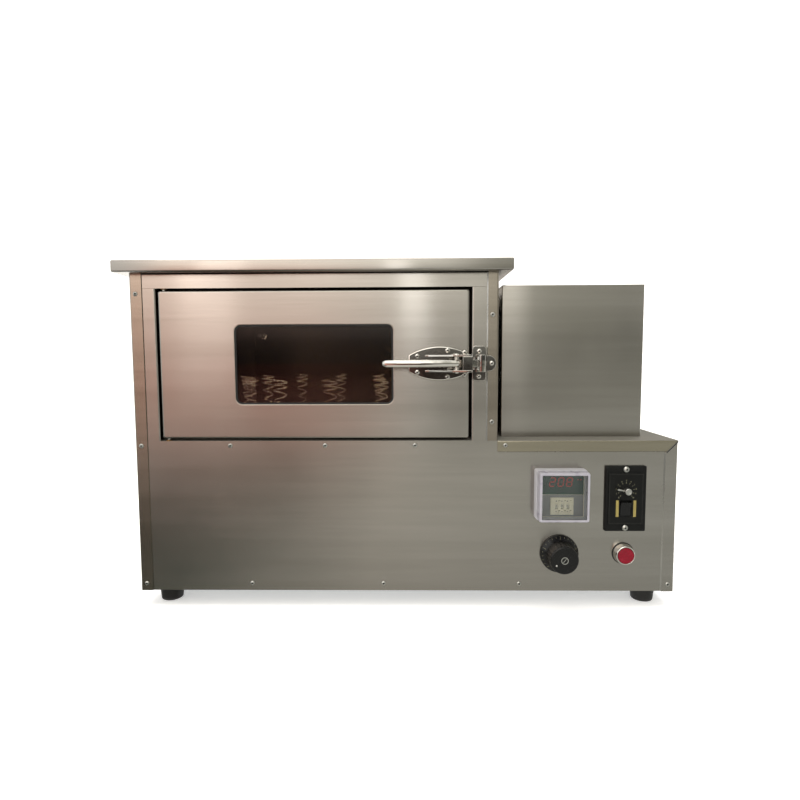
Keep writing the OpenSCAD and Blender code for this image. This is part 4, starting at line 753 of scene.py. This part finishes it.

# %% [markdown]
# Blind rivets close the folded corners. Each is a low aluminium dome with the end of its broken
# mandrel in the middle; the mandrel is real, and its near-black tone is painted shade in the hollow.
# %% Rivets
ALUMINIUM = finish("satin aluminium", "satin_aluminium", "#c9c9c4", "#a3a39d", (400, 3), rough=0.28, Metallic=1)
REAR_Y = 475
RIVETS = [(8.75, 0, 10.5), (8.75, 0, 215), (8.75, 0, 432.5), (771.25, 0, 10.5), (137.6, 1.5, 215), (275, 1.5, 215),
          (404.6, 1.5, 215), (534, 0, 215), (164.7, 1.5, 10.5), (358, 1.5, 10.5), (556.3, 1.5, 10.5), (514.25, 0, 249),
          (514.25, 0, 401)]
SPEED_SCREWS = [(706.4, -2.5, z) for z in (95.3, 180.3)]


def rivet(c):
    """A dome 1.5 mm high, sunk in the middle where the mandrel broke off."""
    dome = arc(0, 0, 1, 0, 66, 6)[:-1] * (3.3, 1.5)
    return lathe([(0.01, -0.1), (3.3, -0.1), *dome, (1.7, 1.34), (1.5, 1.25), (1.4, 0.5), (0.01, 0.45)], c, n=24)


def rear(points, faces):
    """The same head on the rear face: y mirrored, and every face turned over."""
    return points * (1, -1, 1) + (0, REAR_Y, 0), [face[::-1] for face in faces]


rear_rivets = [rear(*rivet((x, 0, z))) for x in (8.75, 771.25) for z in (10.5, 215)]
heads = [rivet(c) for c in RIVETS] + rear_rivets + [screw_head(c, 4.5, 2.6, 1.9) for c in SPEED_SCREWS]
piece("pop_rivets", heads, ALUMINIUM, replaces="panel_fasteners")
# Mandrel ends and the speed screws' socket floors are near-black rubber: painted shade in the hollows.
mandrels = [lathe([(0.01, 0.3), (1.4, 0.3), (1.25, 0.8), (0.01, 0.85)], c, n=12) for c in RIVETS]
piece("mandrel_ends_and_socket_shades", mandrels + [recess(c, 1.75, 0.9, 1.4) for c in SPEED_SCREWS], RUBBER)

# %% [markdown]
# Moulded plastic is never one flat colour: the skin copies a fine spark-eroded grain
# from its mould, dust settles in it, and handling polishes it in patches.
# %% Plastics
def moulded(name, slot, tone, worn, rough=(0.46, 0.32), grain=0.15, shine=0.5):
    """Two tones by a slow noise, a grain 0.5 mm apart, and patches in the roughness."""
    return finish(name, slot, tone, worn, (45, 5, 0.6), (0.35, 0.75), rough,
                  grain=(GRAIN, 2, grain, 0.0001), Specular_IOR_Level=shine)


def printed(name, slot, tone, other):
    """Printing ink: a thin matt film, a little uneven."""
    return moulded(name, slot, tone, other, rough=(0.6, 0.45), grain=0.05)


BLACK = moulded("black moulded plastic", "black_plastic", "#080909", "#10110f", shine=0.2)
BAKELITE = moulded("black phenolic resin", "knob_plastic", "#060606", "#0c0c0c", (0.32, 0.2), 0.06, 0.35)
PALE = moulded("pale grey plastic", "pale_plastic", "#b4b3b8", "#a5a4a8", (0.42, 0.3))
IVORY = moulded("ivory plastic", "ivory_plastic", "#f3edda", "#e6dfc6")
WHITE_WHEEL = moulded("white wheel plastic", None, "#f6f3e8", "#e9e5d6")
PANEL_GREY = moulded("grey label film", "display_face", "#8f9092", "#828384", (0.5, 0.35))
FROST = moulded("frosted grey acrylic", "clear_plastic", "#9f9da5", "#8f8d96", (0.34, 0.24), 0.04)
RED = moulded("red translucent plastic", "red_plastic", "#7c081f", "#680617", (0.3, 0.2), 0.03, 0.25)
GOLD_INK = printed("gold printing ink", "satin_aluminium", "#998a45", "#83753a")
WHITE_INK = printed("white printing ink", "pale_plastic", "#b4b4ae", "#96958e")
FADED_INK = printed("faded grey-gold printing ink", "pale_plastic", "#7d7b62", "#67654f")
BLACK_INK = printed("black printing ink", "black_plastic", "#15140f", "#24221c")
print("plastics and inks made")

# %% [markdown]
# The display window is dark green film over red light-emitting digits. An unlit
# segment still shows a little. The hinged cover is clear acrylic.
# %% Display and acrylic
def segment_plastic(name, slot, tone, strength):
    """A diffusing segment: its brightness varies a little by a fine noise."""
    return finish(name, slot, tone, 0.6, (300, 1), rough=0.4, Emission_Strength=strength)


FILM = finish("dark green display film", "display_face", "#12342c", "#1d4a3f", (60, 3), rough=(0.08, 0.2))
LIT = segment_plastic("lit red segment", "red_plastic", "#b8281e", 0.16)
UNLIT = segment_plastic("unlit red segment", "display_face", "#3a2f28", 0)
ACRYLIC = finish("clear acrylic", "clear_plastic", "#f4f7f6", 0.94, (35, 4), rough=(0.03, 0.09),
                 rough_span=(0.45, 0.8), Transmission_Weight=1, IOR=1.49)

# %% [markdown]
# The process controller is a moulded box behind the panel, with a square bezel in
# front. A loft of square loops rounds the bezel's edges as its mould does. Film, label
# and rules are thin slabs on the face, so that each keeps its own finish.
# %% Controller
CX, CZ = 612.3, 145.6
BX, BY, BZ = 613.2, -12, 129.8


def square_loop(size, y, r):
    return centred_loop(CX, CZ, size, size, y, r, 6, 7)


def block(cx, cz, half_w, half_h, y, r, n=5):
    """A box round a centre line that runs back."""
    return slab((cx - half_w, cx + half_w), (cz - half_h, cz + half_h), y, r, n)


bezel = ((66.9, 1.5, 2), (72, 1.5, 3), (72, -11.4, 3), (71.7, -12.1, 2.9), (71, -12.5, 2.6), (63.4, -12.5, 1.2),
         (62.4, -12.2, 0.8), (62, -11.6, 0.6), (62, 11.5, 0.6), (66.9, 11.5, 2))
case = block(CX, CZ, 33.5, 33.5, (11.5, 75.5), 1.5)
piece("controller_bezel", [loft(bezel, square_loop, close=True)] + case, PALE, replaces="controller_case", angle=40)
FACE_X = (582.2, 642.4)
piece("display_film", slab(FACE_X, (146.2, 176.2), (-10.9, -10.5), 0.15, 3), FILM)
LABELS = (((582.2, 597.2), (115.2, 145.6)), ((629.2, 642.4), (115.2, 145.6)),
          ((597.2, 629.2), (142, 145.6)), ((597.2, 629.2), (115.2, 117.6)))
piece("controller_label", [q for x, z in LABELS for q in slab(x, z, (-10.8, -10.5), 0.1)], PANEL_GREY)
rules = [q for z in ((145.3, 146), (115.2, 116.1)) for q in slab(FACE_X, z, (-10.9, -10.78), 0.05)]
piece("label_rule", rules, ALUMINIUM)
assign(["controller_face"], IVORY)

# %% [markdown]
# A digit is seven bars. Each bar is a six-sided outline, its ends cut to a point so
# that neighbours meet with a hair's gap, and the whole digit leans eight degrees.
# %% Seven-segment digits
# Each bar by its place across and up the digit, and whether it lies level.
SEGMENTS = {"a": (0, 1, True), "b": (1, 0.5, False), "c": (1, -0.5, False), "d": (0, -1, True),
            "e": (-1, -0.5, False), "f": (-1, 0.5, False), "g": (0, 0, True)}
LIT_FOR = {"0": "abcdef", "2": "abged", "8": "abcdefg"}
HALF_W, HALF_H, BAR, GAP, LEAN = 3.5, 5.9, 0.75, 0.35, 0.14
DIGIT_STEP, DIGIT_Z, DIGIT_Y = 11.6, 163.6, -10.92


def segment(cx, sx, sz, level):
    """A bar pointed at both ends; an upright one is the same with x and z exchanged."""
    l = (HALF_W if level else HALF_H / 2) - GAP
    o = np.array([(-l, 0), (BAR - l, BAR), (l - BAR, BAR), (l, 0), (l - BAR, -BAR), (BAR - l, -BAR)])
    o = (o if level else o[::-1, ::-1]) + (sx * HALF_W, sz * HALF_H)
    o[:, 0] += LEAN * o[:, 1]
    return prism(o + (cx, DIGIT_Z), DIGIT_Y - 0.06, DIGIT_Y)


lit, unlit = [], []
for k, digit in enumerate("208"):
    for key, kind in SEGMENTS.items():
        (lit if key in LIT_FOR[digit] else unlit).append(segment(CX - 1.0 + (k - 1) * DIGIT_STEP, *kind))
piece("lit_segments", lit, LIT)
piece("unlit_segments", unlit, UNLIT)
lamp = [(0.01, 0.25), (0.7, 0.2), (0.9, 0), (0.9, -0.05), (0.01, -0.05)]
piece("status_lamps", [lathe(lamp, (x, -10.9, 167), n=16) for x in (634.5, 638.3)], LIT)

# %% [markdown]
# Numerals are cut from Blender's own outline font, once per character, and laid with
# their centre at a point and their height along any direction.
# %% Numerals
CUT = {}
CAP_HEIGHT, LETTER_STEP = 0.69, 0.66  # of the font, and between centres in heights


def glyph(char):
    """A character's flat outline, filled, in units of its height and centred."""
    if char not in CUT:
        curve = bpy.data.curves.new("glyph", "FONT")
        curve.body, curve.resolution_u = char, 3
        tmp = bpy.data.objects.new("glyph", curve)
        mesh = bpy.data.meshes.new_from_object(tmp)
        v = np.array([x.co[:2] for x in mesh.vertices], float)
        f = [list(q.vertices) for q in mesh.polygons]
        bpy.data.objects.remove(tmp)
        bpy.data.curves.remove(curve)
        bpy.data.meshes.remove(mesh)
        CUT[char] = ((v - (v.min(0) + v.max(0)) / 2) / CAP_HEIGHT, f)
    return CUT[char]


def numeral(text, height, centre, up=Z):
    """Characters side by side along x: centre + height (x X + z up)."""
    parts = []
    for k, char in enumerate(text):
        p, f = glyph(char)
        x = p[:, 0] + (k - (len(text) - 1) / 2) * LETTER_STEP
        parts.append((centre + height * (x[:, None] * X + p[:, 1, None] * up), f))
    return parts

# %% [markdown]
# Each window shows one number out of ten. All ten lie round the wheel, 36 degrees
# apart, so the wheel can turn and still show a number.
# %% Thumbwheels
WHEEL_Y, WHEEL_R, WHEEL_STEP, SHOWN = -3.1, 6.69, 7.75, (2, 0, 0)
WHEELS = [BX + (i - 1) * WHEEL_STEP for i in range(3)]
for i, x in enumerate(WHEELS):
    numbers = []
    for k in range(10):
        c, s = math.cos(math.radians(36 * k)), math.sin(math.radians(36 * k))
        centre = (x, WHEEL_Y - WHEEL_R * c, BZ + WHEEL_R * s)
        numbers += numeral(str((SHOWN[i] + k) % 10), 3.3, centre, (0, s, c))
    piece(f"wheel_numerals_{i + 1}", numbers, BLACK_INK, f"wheel_{i + 1}", flip=False)
assign([f"thumbwheel_{i}" for i in (1, 2, 3)], WHITE_WHEEL)
assign([f"{side}_pusher_{i}" for side in ("plus", "minus") for i in (1, 2, 3)], IVORY)
# A minus below and a plus above each wheel: every stroke's centre and half sizes.
STROKES = ((-0.5, -7.2, 1.1, 0.22), (-0.5, 7.2, 1.1, 0.22), (-0.5, 7.2, 0.22, 1.1))
marks = [q for x in WHEELS for a, b, w, h in STROKES for q in block(x + a, BZ + b, w, h, (BY - 0.06, BY), 0.02, 2)]
# Rows of a frame round a wheel's window: width, height and how far it stands out.
FRAME_ROWS = ((5, 8.2, 0), (5, 8.2, 0.35), (4.5, 7.7, 0.5), (3.9, 7.1, 0.5), (3.5, 6.7, 0.1), (3.5, 6.7, 0))
frames = [loft([centred_loop(x, BZ, w, h, BY - out, 0.4, 2, 3) for w, h, out in FRAME_ROWS], close=True)
          for x in WHEELS]
piece("stepping_marks", marks, BLACK_INK)
piece("window_frames", frames, IVORY)

# %% [markdown]
# The cover is a frosted frame with a clear pane, hinged on a bar along its top. The
# frame is a loft round its own section, and the pane is a slab inside it.
# %% Clear cover
COVER_BACK = -12.8
skirt = ((70, COVER_BACK, 3), (70, -26.3, 3), (69.3, -27.6, 2.8), (68, -28.3, 2.4), (66.6, -28.5, 2),
         (63.2, -28.5, 1.2), (62.6, -28.2, 1), (62.6, -26.8, 1), (63.2, -26.5, 1.2), (66.4, -26.4, 1.2),
         (66.4, COVER_BACK, 1.2))
hinge_bar = lathe([(0.01, 0), (2, 0), (2, 64), (0.01, 64)], (CX - 32, -14.8, CZ + 33), "x", 20)
shell = [loft(skirt, square_loop, close=True), hinge_bar]
piece("cover_skirt", shell, FROST, "cover", replaces="controller_cover", angle=40)
piece("cover_pane", block(CX, CZ, 31.2, 31.2, (-28.2, -26.9), 0.3), ACRYLIC, "cover", angle=40)

# %% [markdown]
# The speed control is a black moulded plate with a raised field, two gold bars beside
# its rocker, and a ring of dial marks. It is lofted from loops of one count: from the
# plate's back edge to its face, up the field, and down into the rocker's opening.
# %% Speed control
SX0, SZ0, DIAL_Z, ROCKER_Z = 706.4, 137.8, 150, 124.0


def plate_loop(w, h, y, r, cz=SZ0):
    return centred_loop(SX0, cz, w, h, y, r, 8, 5)


plate = ((58, 95, 1.5, 1.5), (58, 95, -1.8, 1.5), (57.5, 94.5, -2.3, 1.3), (56.8, 93.8, -2.5, 1),
         (50, 75, -2.5, 1), (50, 75, -3.2, 1), (49.6, 74.6, -3.45, 0.9), (49, 74, -3.5, 0.7),
         (17.2, 23.8, -3.5, 0.8, ROCKER_Z), (16.5, 23.1, -3.2, 0.6, ROCKER_Z), (16.4, 23, 12.5, 0.5, ROCKER_Z))
box_rim = ((50, 72, 1.6, 1), (53, 78, 1.6, 1), (53, 78, 14, 1), (50, 72, 14, 1))
shell = [loft(plate, plate_loop, caps=True), loft(box_rim, plate_loop, close=True)]
box_behind = block(SX0, SZ0, 26.5, 39, (12.5, 89.5), 1.5)
piece("speed_plate", shell + box_behind, BLACK, replaces="speed_control", angle=40)
bars = [q for x in (SX0 - 12, SX0 + 12.8) for q in block(x, ROCKER_Z - 0.4, 2, 12, (-3.62, -3.48), 0.06, 2)]
piece("gold_bars", bars, GOLD_INK)


def stroke(centre, across, along, half_w, r0, r1):
    """One flat mark: across and along are its directions, and r0 and r1 its ends."""
    corners = [centre + s * across + r * along for s, r in ((-half_w, r0), (half_w, r0), (half_w, r1), (-half_w, r1))]
    return np.array(corners), [[0, 1, 2, 3]]


def clock(degrees):
    """Directions across and along a hand turned clockwise from the top."""
    c, s = math.cos(math.radians(degrees)), math.sin(math.radians(degrees))
    return c * X - s * Z, s * X + c * Z


# Ticks from radius 10.2 to 12.2 and numerals at 14.4, every 27 degrees from -135 to 135.
centre, marks = np.array([SX0, -3.54, DIAL_Z]), []
for k in range(11):
    across, along = clock(-135 + 27 * k)
    marks += [stroke(centre, across, along, 0.28, 10.2, 12.2), *numeral(str(k), 2.1, centre + along * 14.4)]
piece("dial_marks", marks, FADED_INK, flip=False)
field_rule = loft([centred_loop(SX0, SZ0, w, h, -3.54, 0.8, 2, 3) for w, h in ((47.2, 72), (46.8, 71.6))])
GREY_INK = printed("dim grey printing ink", "black_plastic", "#3f3f3b", "#33332f")
piece("field_rule", [field_rule], GREY_INK, flip=False)
assign(["run_stop_rocker"], BAKELITE)

# %% [markdown]
# The dial is turned and has a flat arm for a pointer. A lathe and a prism make it, on
# a spindle that reaches into the box behind the plate.
# %% Dial and its pointer
def spindle(length, centre):
    return lathe([(0.01, -length), (3, -length), (3, 1), (0.01, 1)], centre, n=24)


# A cap on a spindle, and an arm that points left, 10 degrees above the level.
cap = [(0.01, 0.5), (4.7, 0.5), (4.7, 9.3), (4.45, 9.8), (4.1, 10), (2.9, 10), (2.6, 9.8), (2.6, 9.4), (0.01, 9.4)]
root = [(-7, -0.9), (-4, -1.7), (-1, -1.9), (-1, 1.9), (-4, 1.7), (-7, 0.9)]
arm = turned_outline(np.concatenate([arc(-13, 0, 1.25, 90, 270, 9), root]), (SX0, DIAL_Z), -10)
centre = (SX0, -3.5, DIAL_Z)
dial = [lathe(cap, centre, n=40), prism(arm, -9.2, -6.6), spindle(9, centre)]
bevel(piece("dial_and_pointer", dial, ALUMINIUM, "dial", replaces="speed_dial"), 0.25)

# %% [markdown]
# The knob is pressed from black phenolic resin: a flared skirt under a fluted grip.
# Its flutes are a cosine added to the radius, which fades out above and below.
# %% Thermostat knob
KX, KZ, TILT = 613.6, 56.3, 52
KNOB_ROWS = ((0.01, 0.5), (26.9, 0.5), (27.3, 0.8), (27.5, 1.6), (27.5, 3.3), (27.2, 3.9), (26.4, 4.6), (24, 6.7),
             (21.9, 9), (21.3, 9.9), (21.05, 10.8), (20.9, 12), (20.6, 18), (20.3, 24), (20.05, 28.2), (19.8, 29.5),
             (19.2, 30.3), (18.2, 30.75), (15, 30.75), (14.6, 30.6), (9.6, 30.6), (9.2, 30.75), (4.3, 30.75),
             (3.85, 30.45), (3.8, 29.6), (0.01, 29.6))


def knob_shell(n=192, flutes=24):
    """Radius = profile - depth (1 - cos 24a) / 2, with the depth rising to 0.5 on the grip."""
    rows = np.array(KNOB_ROWS)
    a = round_angles(n)
    deep = np.interp(rows[:, 1], [10, 12.5, 28, 30], [0, 0.5, 0.5, 0]) * (rows[:, 0] > 17)
    r = rows[:, 0, None] - deep[:, None] * (1 - np.cos(flutes * a)) / 2
    return surface(grid(KX + r * np.cos(a), 1.5 - rows[:, 1, None], KZ + r * np.sin(a)), close_v=True)


def slotted(y, r=3.7, h=1.1, slot=0.5):
    """Two half heads either side of a slot, turned by the tilt."""
    edge = math.degrees(math.asin(slot / r))
    half = arc(0, 0, r, edge, 180 - edge, 16)
    return [prism(turned_outline(half, (KX, KZ), turn), y - h, y) for turn in (TILT, TILT + 180)]


piece("knob_grip", [knob_shell(), spindle(16, (KX, 1.5, KZ))], BAKELITE, "knob", replaces="thermostat_knob", angle=45)
# Strokes up the flared skirt to radius 26.2: y = 0.93 r - 27.772 lies just off its slope.
marks = []
for k in range(21):
    across, along = clock(-135 + 13.5 * k)
    marks.append(stroke((KX, -27.772, KZ), -across, along + 0.93 * Y, 0.2, 24.6 if k % 5 else 22.9, 26.2))
piece("knob_marks", marks, FADED_INK, "knob", flip=False)
bevel(piece("knob_screw", slotted(-28.2), BAKELITE, "knob"), 0.2)
# A pale bar laid in the screw's slot, where the slot is dark: painted highlight.
slot_glint_bar = turned_outline([(-3.4, -0.75), (3.4, -0.75), (3.4, 0.75), (-3.4, 0.75)], (KX, KZ), TILT)
washer = lathe([(4.1, 0), (5.2, 0), (5.2, 0.16), (4.8, 0.22), (4.1, 0.12), (4.1, 0)], (KX, -29.25, KZ), n=40)
piece("washer_and_slot_glint", [washer, prism(slot_glint_bar, -29, -28.2)], ALUMINIUM, "knob")
dot = lathe([(0.01, 0), (1.3, 0), (1.2, 0.14), (0.01, 0.16)], (KX - 11.4, -29.05, KZ - 7.2), n=20)
piece("knob_dot", [dot], WHITE_INK, "knob")

# %% [markdown]
# A chromed ring is clamped to the panel over a thin gasket, with the contact box
# behind and the red cap inside. All but the box are lathe turnings on one axis.
# %% Push button
BTX, BTZ = 706, 56.6
ring = [(11, -14), (11, -0.1), (14.8, -0.1), (14.8, 3.6), (14.6, 4.4), (14.3, 8), (13.9, 10.4), (13.5, 11.4),
        (12.9, 11.9), (12.3, 12), (11.8, 11.8), (11.6, 11.2), (11.6, 4), (0.01, 4)]
housing = [lathe(ring, (BTX, 1.5, BTZ), n=72)] + block(BTX, BTZ, 15, 20, (15.5, 47.5), 1.2)
piece("button_bezel", housing, CHROME, replaces="button_housing", angle=50)
gasket = [(14.7, -0.1), (15.9, -0.1), (15.9, 0.7), (15.5, 1.1), (14.7, 1.1), (14.7, -0.1)]
piece("button_gasket", [lathe(gasket, (BTX, 1.5, BTZ), n=60)], RUBBER, flip=False)
cap = [(0.01, -11.5), (4, -11.5), (4, -4), (4, -0.2), (11, -0.2), (11.3, 0.2), (11.3, 3.5), (11.1, 4),
       (10.7, 4.3), (10.1, 4.35), (9.7, 4.2), (8.6, 3.95), (4, 3.85), (0.01, 3.83)]
piece("button_red_cap", [lathe(cap, (BTX, -7, BTZ), n=64)], RED, "button", replaces="button_cap", angle=50)
print("controls made")

# %% [markdown]
# Behind the stainless steel are plainer finishes. The pans and brackets are zinc-coated
# sheet, whose crystals show as flat grey patches of slightly different tone.
# %% Zinc, castings, bronze and wool
def galvanised():
    """Zinc crystals: one tone per cell of a 9 mm cell noise, under a fine dull grain."""
    mat, t, p = material("galvanised sheet")
    cells = node(t, "TexVoronoi", Vector=place(t), Scale=110)
    spangle = node(t, "SeparateColor", Color=cells.outputs["Color"]).outputs
    tone = mix(t, spangle["Red"], srgb("#9a9e9f"), srgb("#b8bbbb"))
    plug(p, Base_Color=tone, Roughness=spread(t, spangle["Green"], 0, 1, 0.38, 0.55), Metallic=1)
    bump(t, p, noise(t, 500), 0.15, 0.0002)
    return mat


def metal(name, slot, tone, worn, rough, grain_mm, bumps, metallic=1):
    """Two tones by a cloudy noise, with roughness that follows it and a grain of grain_mm."""
    return finish(name, slot, tone, worn, (22, 5, 0.6), (0.35, 0.7), rough,
                  grain=(1000 / grain_mm, 3, bumps, 0.0003), Metallic=metallic)


def mineral_wool():
    """Bonded fibres: long thin streaks in two directions over ochre, deep and matt."""
    mat, t, p = material("mineral wool board")
    both = calc(t, "ADD", *(noise(t, 1, 3, vector=stretched(t, k)) for k in ((60, 700, 700), (700, 60, 500))))
    tone = mix(t, spread(t, both, 0.75, 1.25), srgb("#8a7748"), srgb("#c0ab74"))
    plug(p, Base_Color=tone, Roughness=0.95, Sheen_Weight=0.15)
    bump(t, p, both, 0.7, 0.001)
    return mat


ZINC = galvanised()
CASTING = metal("grey enamelled casting", None, "#3a3d3f", "#4a4d4f", (0.35, 0.5), 1.2, 0.25, 0)
BRONZE = metal("sintered bronze", None, "#a37a46", "#7d5b33", (0.35, 0.5), 0.6, 0.15)
GROUND = metal("ground steel", "brushed_stainless", "#b5b3ae", "#9c9a94", (0.2, 0.32), 0.4, 0.05)
SHEATH = metal("oxidised element sheath", None, "#3b332d", "#524538", (0.45, 0.65), 0.5, 0.2)
DARK_PAINT = metal("black heat-resistant paint", "dark_frame", "#191817", "#262422", (0.5, 0.65), 0.5, 0.2, 0)
SILICONE = rubber("red-brown silicone rubber", "seal_rubber", "#4a1d14", 0.5)
assign(["base_pan", "insulation_tray"], ZINC)
assign(["fan_motor", "gear_motor"], CASTING)
assign(["hinge_bushes", "shaft_bearing"], BRONZE)
assign(["temperature_probe", "carousel_shaft", "door_hinge_pins", "hub_nut", "fan_wheel"], GROUND)
assign(["heating_elements"], SHEATH)
assign(["window_spacer"], DARK_PAINT)
assign(["chamber_insulation", "door_insulation"], mineral_wool())
assign(["cable_gland", "thermostat_body", "heater_relay"], BLACK)

# %% [markdown]
# The feet are turned from black rubber, with a chamfer at the floor and an aluminium washer
# up the screw's recess. The door's seal is a hollow silicone profile: a rounded crown on
# a base, which its loops follow round the mouth.
# %% Feet and door seal
foot = [(0.01, 3), (5, 3), (5, 0.6), (5.5, 0.05), (13.6, 0.05), (14.7, 0.5), (15.5, 1.6), (16.6, 11.6),
        (17.4, 19.2), (17.5, 20.4), (17.5, 24), (0.01, 24)]
washer = [(1.8, 0), (4.7, 0), (4.7, 0.8), (1.8, 0.8), (1.8, 0)]
feet = [(x, y) for x in (32, 748) for y in (32, 443)]
piece("turned_feet", [lathe(foot, (*c, -24), "z", 40) for c in feet], RUBBER, replaces="rubber_feet", angle=40)
piece("foot_washers", [lathe(washer, (*c, -21.9), "z", 24) for c in feet], ALUMINIUM, flip=False)
SEAL = (45.8, 475.7, 231.2, 431.2)
# The profile of the seal: how far in from its outer edge, and how far back.
CROWN = ((0, 34.2), (0, 37.4), (0.5, 39.2), (1.6, 41), (3, 41.7), (4.4, 41), (5.5, 39.2), (6, 37.4), (6, 34.2))
seal = loft([grown_loop(SEAL, -inset, y, max(5 - inset, 2), 16, 6) for inset, y in CROWN], close=True)
piece("door_gasket", [seal], SILICONE, "door", replaces="door_seal")

# %% [markdown]
# Each sheet ends in a cut edge 1.5 mm thick, broken with a file. The slanted edge shows
# as a fine bright or dark line where one sheet laps another.
# %% Cut edges of the lapping sheets
def edge_strip(x, z0, z1, w=1.6):
    """An upright wedge from a flange's face at x to the sheet behind, w further left."""
    return prism([(x, 0.02), (x, 1.5), (x - w, 1.5)], z0, z1, "z")


under_deck = prism([(0.02, 206), (1.5, 206), (1.5, 205.1)], 524, 763, "x")
cut_edges = [edge_strip(762.5, 0.5, 204), edge_strip(508, 222.5, 460), under_deck]
piece("cut_edges", cut_edges, GROUND)
# A dark strip in black paint, wider than the mitre's narrow gap: painted shadow in the gap.
mitre_gap_shadow = [(763.4, 204.4), (764.6, 203.6), (780, 219), (780, 221.2)]
piece("mitre_shadow_strip", [prism(mitre_gap_shadow, -0.03, 0.6)], DARK_PAINT)

# %% [markdown]
# Inside the chamber a strip lamp above the mouth stands in for the light that leaks past
# the glass, so that the level turns of the wire holders glint behind it.
# %% Light inside the chamber
above_mouth, holder_tops = (tuple(to_metres(p)) for p in ([260, 52, 418], [260, 170, 290]))
panel_light("chamber strip", above_mouth, holder_tops, (0.4, 0.015), 3.5, (1, 0.97, 0.92))
print("pieces finished")
